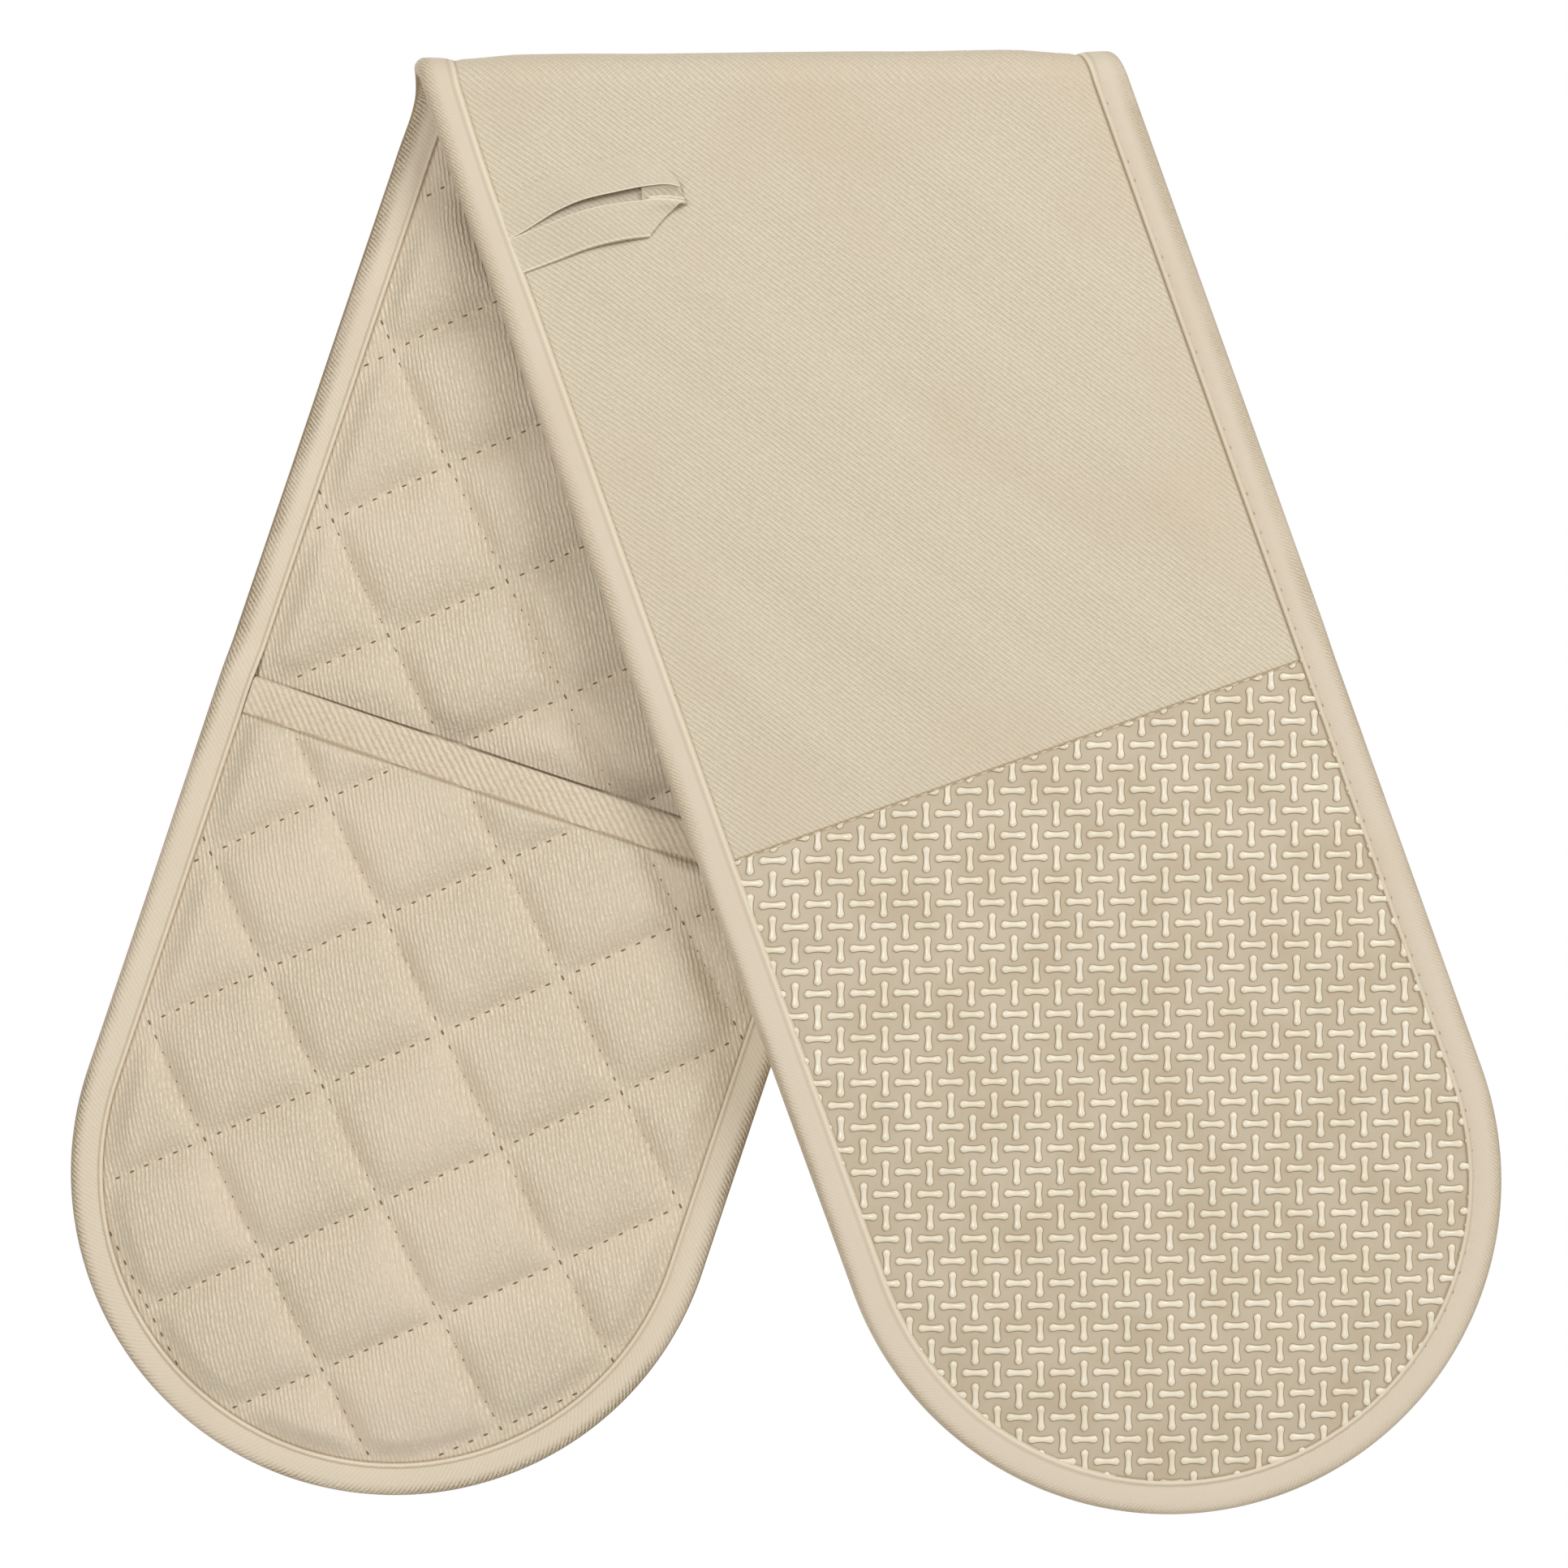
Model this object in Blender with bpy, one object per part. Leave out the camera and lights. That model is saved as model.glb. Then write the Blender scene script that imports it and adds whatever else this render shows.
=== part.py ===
"""A double oven glove: one padded strip with a mitt pocket at each round end, hanging by its fold.

The frame has +Z up and the front arm at -Y. The origin is on the lining at the middle of the inside of the fold.
Each arm is drawn flat in the strip's own frame: x runs across the strip, y up the strip from the middle of the
fold, and z outward from the face of the shell. The back arm is the front one turned half a turn about Z.
"""

import math

import bmesh
import bpy
from mathutils import Matrix, Vector

# Strip, flat
WIDTH = 0.190
REACH = 0.439  # from the middle of the fold to the tip of a mitt
SPLAY = math.radians(18.94)  # between each arm's middle line and straight down
TILT = math.radians(1.2)  # each arm leans outward
BEND_RADIUS = 0.006  # inside of the fold, at the lining

# Layers, from the outside in
SHELL = 0.0007
INSULATION = 0.0014
QUILT = 0.0008  # quilted lining where it is stitched down
QUILT_CROWN = 0.0024  # how far a puff stands over its stitching
HAND_LINING = 0.0006
CLEARANCE = 0.0003  # between neighbouring layers and pieces

# Quilting
QUILT_PITCHES = (0.0382, 0.0377)  # of its two families of stitching
QUILT_ANGLES = (math.radians(45), math.radians(132.75))  # square to each family, from across towards down
QUILT_CROSS_ACROSS = 0.0539  # one place where two lines of stitching cross
QUILT_CROSS_DOWN = 0.2999
QUILT_FADE = 0.014  # the puffs flatten this far from a sewn edge
PUFF_STEP_SHARES = (0.0, 0.2, 0.5, 0.8)  # where a puff's facets break, from one line to the next
SOFT_STEP_SHARES = (0.0, 0.5)
PUFF_ROUNDNESS = 0.5  # power of the puff's profile

# Edge tape
TAPE = 0.0007
TAPE_WIDTH = 0.0096
TAPE_ROUNDING = 0.0013
HEM_ROOM = 0.0005  # from the tape's hem to the first puff
SEAM_BAND = 0.004  # flat strip of lining beside a seam without tape

# Mitt
SEAM_DOWN = 0.2178  # the seam of the silicone patch
MOUTH_PAST_SEAM = 0.0004  # the pocket's mouth lies this far below the seam
MOUTH_TAPE_WIDTH = 0.0110
HAND_ROOM = 0.0075  # the pocket's free height in its middle
EDGE_ROOM = 0.0013  # the same beside the edge tape

# Hanging loop
LOOP_LENGTH = 0.0485
LOOP_TAPE_WIDTH = 0.0105
LOOP_THICKNESS = 0.0012
LOOP_DOWN = 0.0288  # middle of its sewn end
LOOP_DROOP = 0.0049  # its tip is this much lower
LOOP_EYE = 0.0062  # between the two lengths of tape, where they are furthest apart
LOOP_EYE_SKEW = 1.6  # power that moves that place towards the tip
LOOP_EYE_START = 0.0030  # from the sewn end
LOOP_EYE_STOP = 0.0050  # from the tip
LOOP_UPPER_MITRE = 0.0085  # how much of each edge the folded tip cuts off
LOOP_LOWER_MITRE = 0.0140
LOOP_TIP_WIDTH = 0.0050

# Facets
BEND_STEPS = 8
END_STEPS = 24
ROUNDING_STEPS = 3
MOUTH_STEPS = 12
LOOP_STEPS = 6
MERGE = 0.000001
CUT_OVERRUN = 0.002

# Sizes worked out from these
HALF = WIDTH / 2
END_CENTRE_DOWN = REACH - HALF
MOUTH_DOWN = SEAM_DOWN + MOUTH_PAST_SEAM
LINING_FACE = SHELL + INSULATION + 2 * CLEARANCE + QUILT
OUTER_RADIUS = BEND_RADIUS + LINING_FACE
NEUTRAL_RADIUS = OUTER_RADIUS - LINING_FACE / 2
BEND_ANGLE = math.pi / 2 - TILT
BEND_HALF = NEUTRAL_RADIUS * BEND_ANGLE
PROUD = CLEARANCE + TAPE
EDGE_SETBACK = TAPE + CLEARANCE
CLOTH_HALF = HALF - EDGE_SETBACK
HEM_HALF = HALF - TAPE_WIDTH
FREE_HALF = HEM_HALF - HEM_ROOM
INSULATION_OUT = -SHELL - CLEARANCE
LINING_OUT = INSULATION_OUT - INSULATION - CLEARANCE
HAND_LINING_IN = LINING_OUT - HAND_LINING
POCKET_LINING_OUT = HAND_LINING_IN - EDGE_ROOM
POCKET_PANEL_OUT = POCKET_LINING_OUT - HAND_LINING - CLEARANCE
POCKET_FACE = POCKET_PANEL_OUT - QUILT
MOUTH_FREE = MOUTH_DOWN + MOUTH_TAPE_WIDTH + HEM_ROOM
LOOP_AXIS_OUT = max(PROUD, CLEARANCE + LOOP_THICKNESS)

COLOURS = {
    "twill": ((0.694, 0.604, 0.451), 0.9),
    "lining": ((0.724, 0.644, 0.503), 0.9),
    "tape": ((0.768, 0.694, 0.558), 0.85),
    "felt": ((0.546, 0.509, 0.445), 0.95),
    "silicone": ((0.610, 0.514, 0.376), 0.35),
}


def clear_scene():
    for old in list(bpy.data.objects):
        bpy.data.objects.remove(old, do_unlink=True)


def make_materials():
    made = {}
    for name, (colour, roughness) in COLOURS.items():
        material = bpy.data.materials.new(name)
        material.use_nodes = True
        shader = material.node_tree.nodes["Principled BSDF"]
        shader.inputs["Base Color"].default_value = (*colour, 1.0)
        shader.inputs["Roughness"].default_value = roughness
        shader.inputs["Metallic"].default_value = 0.0
        made[name] = material
    return made


# Frames


def arm_frame(turn):
    """The strip's flat frame, for the front arm (turn 0) or the back arm (turn pi)."""
    bend_end = Matrix.Translation(
        (0.0, -OUTER_RADIUS * math.sin(BEND_ANGLE), -BEND_RADIUS + OUTER_RADIUS * math.cos(BEND_ANGLE))
    )
    lean = Matrix.Rotation(math.pi / 2 - TILT, 4, "X")
    to_middle = Matrix.Translation((0.0, BEND_HALF, 0.0))
    return Matrix.Rotation(turn, 4, "Z") @ bend_end @ lean @ to_middle @ Matrix.Rotation(SPLAY, 4, "Z")


def past_middle(x, y):
    """How far a flat point lies past the line along the middle of the fold."""
    return -y * math.cos(SPLAY) - x * math.sin(SPLAY)


def on_line_past_middle(x, past):
    """The flat y at x, where the strip is that far past the middle of the fold."""
    return -(past + x * math.sin(SPLAY)) / math.cos(SPLAY)


def bent(flat):
    """Carries a flat point near the middle of the strip round the fold."""
    angle = past_middle(flat.x, flat.y) / NEUTRAL_RADIUS
    radius = OUTER_RADIUS + flat.z
    across = flat.x * math.cos(SPLAY) - flat.y * math.sin(SPLAY)
    return Vector((across, -radius * math.sin(angle), -BEND_RADIUS + radius * math.cos(angle)))


def hinge_empty(name, world, parent=None):
    empty = bpy.data.objects.new(name, None)
    bpy.context.scene.collection.objects.link(empty)
    place(empty, world, parent)
    return empty


def place(obj, world, parent):
    obj["world"] = [value for row in world for value in row]
    if parent:
        obj.parent = parent
        obj.matrix_parent_inverse = Matrix.Identity(4)
        obj.matrix_basis = frame_of(parent).inverted() @ world
    else:
        obj.matrix_basis = world


def frame_of(obj):
    values = list(obj["world"])
    size = int(math.sqrt(len(values)))
    return Matrix([values[row * size : (row + 1) * size] for row in range(size)])


# Sheets of cloth


def flat_sheet(outline):
    bm = bmesh.new()
    bm.faces.new([bm.verts.new((x, y, 0.0)) for x, y in outline])
    return bm


def quilt_place(x, y):
    """A point's place among the two families of stitching, in pitches."""
    down = -y - QUILT_CROSS_DOWN
    across = x - QUILT_CROSS_ACROSS
    return [
        (across * math.cos(angle) + down * math.sin(angle)) / pitch
        for angle, pitch in zip(QUILT_ANGLES, QUILT_PITCHES)
    ]


def cut_along_quilting(bm, step_shares):
    """Breaks a flat sheet along the lines of stitching, and at these shares of the way between them."""
    places = [quilt_place(v.co.x, v.co.y) for v in bm.verts]
    cross = Vector((QUILT_CROSS_ACROSS, -QUILT_CROSS_DOWN, 0.0))
    for family, (angle, pitch) in enumerate(zip(QUILT_ANGLES, QUILT_PITCHES)):
        direction = Vector((math.cos(angle), -math.sin(angle), 0.0))
        first = math.floor(min(p[family] for p in places))
        last = math.ceil(max(p[family] for p in places))
        for line in range(first, last):
            for share in step_shares:
                bmesh.ops.bisect_plane(
                    bm,
                    geom=bm.verts[:] + bm.edges[:] + bm.faces[:],
                    dist=MERGE,
                    plane_co=cross + direction * (line + share) * pitch,
                    plane_no=direction,
                )


def add_band(bm, grown):
    """Adds the flat band round a sheet that lies under the tape or beside a seam."""
    rim = [e for e in bm.edges if e.is_boundary]
    made = bmesh.ops.extrude_edge_only(bm, edges=rim)["geom"]
    for vert in made:
        if isinstance(vert, bmesh.types.BMVert):
            vert.co.x, vert.co.y = grown(vert.co.x, vert.co.y)


def crease_along_hems(bm):
    """Breaks a flat sheet in line with the hems of the two side tapes, where a pocket begins to swell."""
    for side in (-1, 1):
        bmesh.ops.bisect_plane(
            bm,
            geom=bm.verts[:] + bm.edges[:] + bm.faces[:],
            dist=MERGE,
            plane_co=(side * FREE_HALF, 0.0, 0.0),
            plane_no=(side, 0.0, 0.0),
        )


def thicken(bm, outside, inside, flat_outside=False):
    """Closes a flat sheet into a solid between two heights over the flat plane, given as functions."""
    bmesh.ops.triangulate(bm, faces=bm.faces[:])
    if flat_outside:
        for vert in bm.verts:
            vert.co.z = inside(vert.co.x, vert.co.y)
        rim = [e for e in bm.edges if e.is_boundary]
        made = bmesh.ops.extrude_edge_only(bm, edges=rim)["geom"]
        for vert in made:
            if isinstance(vert, bmesh.types.BMVert):
                vert.co.z = outside(vert.co.x, vert.co.y)
        bmesh.ops.holes_fill(bm, edges=[e for e in bm.edges if e.is_boundary], sides=0)
        bmesh.ops.triangulate(bm, faces=[f for f in bm.faces if len(f.verts) > 4])
    else:
        made = bmesh.ops.extrude_face_region(bm, geom=bm.faces[:], use_keep_orig=True)["geom"]
        lifted = {v for v in made if isinstance(v, bmesh.types.BMVert)}
        for vert in bm.verts:
            height = outside if vert in lifted else inside
            vert.co.z = height(vert.co.x, vert.co.y)
    bmesh.ops.recalc_face_normals(bm, faces=bm.faces[:])


def finish(bm, name, material, world=None, parent=None, carried=None):
    """Turns the mesh into an object, carried round the fold or placed under its hinge."""
    if carried:
        for vert in bm.verts:
            vert.co = carried(vert.co)
        bmesh.ops.recalc_face_normals(bm, faces=bm.faces[:])
    mesh = bpy.data.meshes.new(name)
    bm.to_mesh(mesh)
    bm.free()
    mesh.materials.append(MATERIALS[material])
    obj = bpy.data.objects.new(name, mesh)
    bpy.context.scene.collection.objects.link(obj)
    place(obj, world or Matrix.Identity(4), parent)
    return obj


def level(height):
    return lambda x, y: height


def plain_sheet(outline, top, thickness):
    bm = flat_sheet(outline)
    thicken(bm, level(top), level(top - thickness))
    return bm


def puff(x, y):
    """Height of the quilting's puffs, from 0 at the stitching to 1 in the middle of a diamond."""
    height = 1.0
    for place_in_family in quilt_place(x, y):
        share = place_in_family - math.floor(place_in_family)
        height *= max(0.0, 4 * share * (1 - share)) ** PUFF_ROUNDNESS
    return height


def eased(share):
    share = min(1.0, max(0.0, share))
    return share * share * (3 - 2 * share)


# Outlines, in the strip's flat frame


def strip_outline(half, past, down):
    """The straight part of an arm: from a line past the middle of the fold to a line across the strip."""
    return [
        (-half, -down),
        (half, -down),
        (half, on_line_past_middle(half, past)),
        (-half, on_line_past_middle(-half, past)),
    ]


def mitt_outline(half, down):
    """The round end of an arm, from a line across the strip to the tip."""
    points = [(-half, -down)]
    for step in range(END_STEPS + 1):
        angle = math.pi * step / END_STEPS
        points.append((-half * math.cos(angle), -END_CENTRE_DOWN - half * math.sin(angle)))
    points.append((half, -down))
    return points


def strip_band(x, y):
    """Grows the puffed part of the strip's lining to the whole of it."""
    past = past_middle(x, y)
    grown_x = math.copysign(CLOTH_HALF, x) if abs(x) > FREE_HALF - MERGE else x
    if past < BEND_HALF + SEAM_BAND + MERGE:
        return grown_x, on_line_past_middle(grown_x, BEND_HALF + CLEARANCE / 2)
    if -y > SEAM_DOWN - SEAM_BAND - MERGE:
        return grown_x, -SEAM_DOWN + CLEARANCE / 2
    return grown_x, y


def pocket_band(x, y):
    """Grows the free part of a pocket's layer out under the tape."""
    below = -y - END_CENTRE_DOWN
    if below > MERGE:
        grow = CLOTH_HALF / math.hypot(x, below)
        return x * grow, -END_CENTRE_DOWN - below * grow
    grown_x = math.copysign(CLOTH_HALF, x) if abs(x) > FREE_HALF - MERGE else x
    if -y < MOUTH_FREE + MERGE:
        return grown_x, -MOUTH_DOWN - EDGE_SETBACK
    return grown_x, y


# Heights


def hand_room(x, y):
    """How much the pocket stands off the hand lining, beyond its height at the edge."""
    below = max(0.0, -y - END_CENTRE_DOWN)
    share = min(1.0, math.hypot(x, below) / FREE_HALF)
    return HAND_ROOM * (1 - share * share)


def strip_puffs(x, y):
    from_edge = min(
        FREE_HALF - abs(x),
        past_middle(x, y) - BEND_HALF - SEAM_BAND,
        SEAM_DOWN - SEAM_BAND + y,
    )
    return QUILT_CROWN * puff(x, y) * eased(from_edge / QUILT_FADE)


def pocket_puffs(x, y):
    below = max(0.0, -y - END_CENTRE_DOWN)
    from_edge = min(FREE_HALF - math.hypot(x, below), -y - MOUTH_FREE)
    return QUILT_CROWN * puff(x, y) * eased(from_edge / QUILT_FADE)


# Tape folded over an edge


def tape_profile(inner_face, width):
    """Section of the tape: (distance in from the edge, height), round the fold and back inside it."""
    top = PROUD
    bottom = inner_face - PROUD
    outside = [(width, top)]
    for step in range(ROUNDING_STEPS + 1):
        turn = math.pi / 2 * step / ROUNDING_STEPS
        outside.append(
            (TAPE_ROUNDING * (1 - math.sin(turn)), top - TAPE_ROUNDING * (1 - math.cos(turn)))
        )
    for step in range(ROUNDING_STEPS + 1):
        turn = math.pi / 2 * step / ROUNDING_STEPS
        outside.append(
            (TAPE_ROUNDING * (1 - math.cos(turn)), bottom + TAPE_ROUNDING * (1 - math.sin(turn)))
        )
    outside.append((width, bottom))
    return outside + [(width, bottom + TAPE), (TAPE, bottom + TAPE), (TAPE, top - TAPE), (width, top - TAPE)]


def cap(bm, loop):
    """Closes one end of a tape: its two flanges, its back, and a fan round each corner."""
    arc = ROUNDING_STEPS + 1
    outer = loop[:-4]
    lower_end, lower_corner, upper_corner, upper_end = loop[-4:]
    bm.faces.new((outer[0], outer[1], upper_corner, upper_end))
    bm.faces.new((outer[arc], outer[arc + 1], lower_corner, upper_corner))
    bm.faces.new((outer[-2], outer[-1], lower_end, lower_corner))
    for step in range(1, arc):
        bm.faces.new((outer[step], outer[step + 1], upper_corner))
        bm.faces.new((outer[arc + step], outer[arc + step + 1], lower_corner))


def sweep(rings):
    """A closed solid through rings of points, with its two ends capped."""
    bm = bmesh.new()
    loops = [[bm.verts.new(point) for point in ring] for ring in rings]
    for one, other in zip(loops, loops[1:]):
        for a in range(len(one)):
            b = (a + 1) % len(one)
            bm.faces.new((one[a], one[b], other[b], other[a]))
    cap(bm, loops[0])
    cap(bm, loops[-1])
    bmesh.ops.triangulate(bm, faces=bm.faces[:])
    bmesh.ops.recalc_face_normals(bm, faces=bm.faces[:])
    return bm


def straight_tape(side, start_past, end_down, inner_face):
    profile = [(side * (HALF - inward), height) for inward, height in tape_profile(inner_face, TAPE_WIDTH)]
    start = [(x, on_line_past_middle(x, start_past), z) for x, z in profile]
    end = [(x, -end_down, z) for x, z in profile]
    return sweep([start, end])


def crest_tape(side):
    profile = [(side * (HALF - inward), z) for inward, z in tape_profile(-LINING_FACE, TAPE_WIDTH)]
    rings = []
    for step in range(BEND_STEPS + 1):
        past = (BEND_HALF - CLEARANCE / 2) * (2 * step / BEND_STEPS - 1)
        rings.append([(x, on_line_past_middle(x, past), z) for x, z in profile])
    return sweep(rings)


def mitt_tape():
    """The edge tape of a mitt: down one side, round the end and up the other."""
    profile = [(HALF - inward, z) for inward, z in tape_profile(POCKET_FACE, TAPE_WIDTH)]
    start_y = -SEAM_DOWN - CLEARANCE / 2
    rings = [[(-radius, start_y, z) for radius, z in profile]]
    for step in range(END_STEPS + 1):
        angle = math.pi * step / END_STEPS
        rings.append(
            [(-r * math.cos(angle), -END_CENTRE_DOWN - r * math.sin(angle), z) for r, z in profile]
        )
    rings.append([(radius, start_y, z) for radius, z in profile])
    return sweep(rings)


def mouth_tape():
    """The tape along a pocket's mouth, which stands off with the pocket."""
    pocket_thickness = POCKET_LINING_OUT - POCKET_FACE
    profile = tape_profile(-pocket_thickness, MOUTH_TAPE_WIDTH)
    reach = HEM_HALF - CLEARANCE
    rings = []
    for step in range(MOUTH_STEPS + 1):
        x = reach * (2 * step / MOUTH_STEPS - 1)
        lift = POCKET_LINING_OUT - hand_room(x, -MOUTH_DOWN)
        rings.append([(x, -MOUTH_DOWN - inward, z + lift) for inward, z in profile])
    return sweep(rings)


# Groups of pieces


def crest_sheet(top, thickness):
    past = BEND_HALF - CLEARANCE / 2
    corners = ((-CLOTH_HALF, past), (CLOTH_HALF, past), (CLOTH_HALF, -past), (-CLOTH_HALF, -past))
    bm = flat_sheet([(x, on_line_past_middle(x, corner_past)) for x, corner_past in corners])
    across_fold = Vector((-math.sin(SPLAY), -math.cos(SPLAY), 0.0))
    for step in range(1, BEND_STEPS):
        bmesh.ops.bisect_plane(
            bm,
            geom=bm.verts[:] + bm.edges[:] + bm.faces[:],
            dist=MERGE,
            plane_co=across_fold * past * (2 * step / BEND_STEPS - 1),
            plane_no=across_fold,
        )
    thicken(bm, level(top), level(top - thickness))
    return bm


def make_crest():
    finish(crest_sheet(0.0, SHELL), "crest_shell", "twill", carried=bent)
    finish(crest_sheet(INSULATION_OUT, INSULATION), "crest_insulation", "felt", carried=bent)
    finish(crest_sheet(LINING_OUT, QUILT), "crest_lining", "lining", carried=bent)
    finish(crest_tape(-1), "crest_edge_tape_left", "tape", carried=bent)
    finish(crest_tape(1), "crest_edge_tape_right", "tape", carried=bent)


def make_strip(arm, frame, hinge):
    start = BEND_HALF + CLEARANCE / 2
    end = SEAM_DOWN - CLEARANCE / 2
    whole = strip_outline(CLOTH_HALF, start, end)
    finish(plain_sheet(whole, 0.0, SHELL), f"{arm}_strip_shell", "twill", frame, hinge)
    insulation = plain_sheet(whole, INSULATION_OUT, INSULATION)
    finish(insulation, f"{arm}_strip_insulation", "felt", frame, hinge)

    lining = flat_sheet(strip_outline(FREE_HALF, BEND_HALF + SEAM_BAND, SEAM_DOWN - SEAM_BAND))
    cut_along_quilting(lining, PUFF_STEP_SHARES)
    add_band(lining, strip_band)
    thicken(lining, level(LINING_OUT), lambda x, y: LINING_OUT - QUILT - strip_puffs(x, y), flat_outside=True)
    finish(lining, f"{arm}_quilted_lining", "lining", frame, hinge)

    for side, place_name in ((-1, "inner"), (1, "outer")):
        tape = straight_tape(side, start, end, -LINING_FACE)
        finish(tape, f"{arm}_edge_tape_{place_name}", "tape", frame, hinge)


def make_mitt(arm, frame, hinge):
    start = SEAM_DOWN + CLEARANCE / 2
    whole = mitt_outline(CLOTH_HALF, start)
    finish(plain_sheet(whole, 0.0, SHELL), f"{arm}_silicone_patch", "silicone", frame, hinge)
    insulation = plain_sheet(whole, INSULATION_OUT, INSULATION)
    finish(insulation, f"{arm}_mitt_insulation", "felt", frame, hinge)
    finish(plain_sheet(whole, LINING_OUT, HAND_LINING), f"{arm}_mitt_lining", "lining", frame, hinge)

    lining = flat_sheet(mitt_outline(FREE_HALF, MOUTH_FREE))
    cut_along_quilting(lining, SOFT_STEP_SHARES)
    add_band(lining, pocket_band)
    crease_along_hems(lining)
    thicken(
        lining,
        lambda x, y: POCKET_LINING_OUT - hand_room(x, y),
        lambda x, y: POCKET_LINING_OUT - hand_room(x, y) - HAND_LINING,
    )
    finish(lining, f"{arm}_pocket_lining", "lining", frame, hinge)

    panel = flat_sheet(mitt_outline(FREE_HALF, MOUTH_FREE))
    cut_along_quilting(panel, PUFF_STEP_SHARES)
    add_band(panel, pocket_band)
    crease_along_hems(panel)
    thicken(
        panel,
        lambda x, y: POCKET_PANEL_OUT - hand_room(x, y),
        lambda x, y: POCKET_FACE - hand_room(x, y) - pocket_puffs(x, y),
    )
    finish(panel, f"{arm}_pocket_panel", "lining", frame, hinge)
    finish(mouth_tape(), f"{arm}_mouth_tape", "tape", frame, hinge)
    finish(mitt_tape(), f"{arm}_mitt_edge_tape", "tape", frame, hinge)


def loop_middle(along):
    """The flat point on the middle line of the hanging loop, that far from its sewn end."""
    return -HEM_HALF + CLEARANCE + along, -LOOP_DOWN - LOOP_DROOP * (along / LOOP_LENGTH) ** 2


def eye_half(along):
    """Half the loop's opening there: none at the sewn end, widest near the tip."""
    share = (along - LOOP_EYE_START) / (LOOP_LENGTH - LOOP_EYE_STOP - LOOP_EYE_START)
    return LOOP_EYE / 2 * math.sin(math.pi * min(1.0, max(0.0, share)) ** LOOP_EYE_SKEW)


def loop_edge(side, mitre):
    """One long edge of the loop, from its sewn end to its folded tip."""
    edge = []
    for step in range(LOOP_STEPS + 1):
        x, y = loop_middle((LOOP_LENGTH - mitre) * step / LOOP_STEPS)
        along = x - loop_middle(0.0)[0]
        edge.append((x, y + side * (LOOP_TAPE_WIDTH + eye_half(along))))
    x, y = loop_middle(LOOP_LENGTH)
    edge.append((x, y + side * LOOP_TIP_WIDTH / 2))
    return edge


def eye_outline():
    span = LOOP_LENGTH - LOOP_EYE_STOP - LOOP_EYE_START
    above, below = [], []
    for step in range(2 * LOOP_STEPS + 1):
        along = LOOP_EYE_START + span * step / (2 * LOOP_STEPS)
        x, y = loop_middle(along)
        above.append((x, y + eye_half(along)))
        if 0 < step < 2 * LOOP_STEPS:
            below.append((x, y - eye_half(along)))
    return above + list(reversed(below))


def make_loop(frame, hinge):
    outline = loop_edge(-1, LOOP_LOWER_MITRE) + list(reversed(loop_edge(1, LOOP_UPPER_MITRE)))
    top = CLEARANCE + LOOP_THICKNESS
    loop = finish(plain_sheet(outline, top, LOOP_THICKNESS), "hanging_loop", "tape", frame, hinge)

    through = LOOP_THICKNESS + 2 * CUT_OVERRUN
    cutter = plain_sheet(eye_outline(), top + CUT_OVERRUN, through)
    cutter = finish(cutter, "loop_eye_cutter", "tape", frame, hinge)
    cutter.hide_render = True
    cutter.display_type = "WIRE"
    cut = loop.modifiers.new("eye", "BOOLEAN")
    cut.operation = "DIFFERENCE"
    cut.solver = "EXACT"
    cut.object = cutter


def make_arm(arm, turn):
    """One arm: its strip hinge on the fold, its mitt hinge at the silicone seam, and what they carry."""
    frame = arm_frame(turn)
    unsplayed = frame @ Matrix.Rotation(-SPLAY, 4, "Z")
    strip_hinge = hinge_empty(f"{arm}_strip_hinge", unsplayed @ Matrix.Translation((0.0, -BEND_HALF, PROUD)))
    at_seam = frame @ Matrix.Translation((0.0, -SEAM_DOWN, PROUD))
    mitt_hinge = hinge_empty(f"{arm}_mitt_hinge", at_seam, strip_hinge)
    make_strip(arm, frame, strip_hinge)
    make_mitt(arm, frame, mitt_hinge)
    return frame, strip_hinge


clear_scene()
MATERIALS = make_materials()
make_crest()
front_frame, front_hinge = make_arm("front", 0.0)
make_arm("back", math.pi)
loop_axis = front_frame @ Matrix.Translation((-HEM_HALF, -LOOP_DOWN, LOOP_AXIS_OUT))
make_loop(front_frame, hinge_empty("hanging_loop_hinge", loop_axis, front_hinge))
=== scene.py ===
"""Looks of the double oven glove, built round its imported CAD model.

Each arm is drawn flat, as in the CAD source: x runs across the strip, y up the strip from the middle of the
fold, and z outward from the face of the twill. carried() takes flat points round the fold and down an arm.
Every piece keeps its place on the cloth in an attribute named cloth, in metres, which its weave follows.
"""

import math

import bmesh
import bpy
import numpy as np
from mathutils import Matrix, Vector


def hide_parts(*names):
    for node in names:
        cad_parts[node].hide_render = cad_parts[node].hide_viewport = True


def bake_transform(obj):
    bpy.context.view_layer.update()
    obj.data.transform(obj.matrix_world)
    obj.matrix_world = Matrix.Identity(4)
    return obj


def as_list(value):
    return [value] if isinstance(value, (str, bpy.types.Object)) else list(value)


# Sizes that the CAD source also has
WIDTH = 0.190
REACH = 0.439
SPLAY = math.radians(18.94)
TILT = math.radians(1.2)
BEND_RADIUS = 0.006
SHELL = 0.0007
INSULATION = 0.0014
QUILT = 0.0008
HAND_LINING = 0.0006
CLEARANCE = 0.0003
QUILT_PITCHES = (0.0382, 0.0377)
QUILT_ANGLES = (math.radians(45), math.radians(132.75))
QUILT_CROSS = (0.0539, 0.2999)  # across and down
SEAM_DOWN = 0.2178
MOUTH_DOWN = 0.2182
MOUTH_WIDTH = 0.0110
HAND_ROOM = 0.0075
EDGE_ROOM = 0.0013
LOOP_LENGTH = 0.0485
LOOP_DOWN = 0.0288

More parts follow.
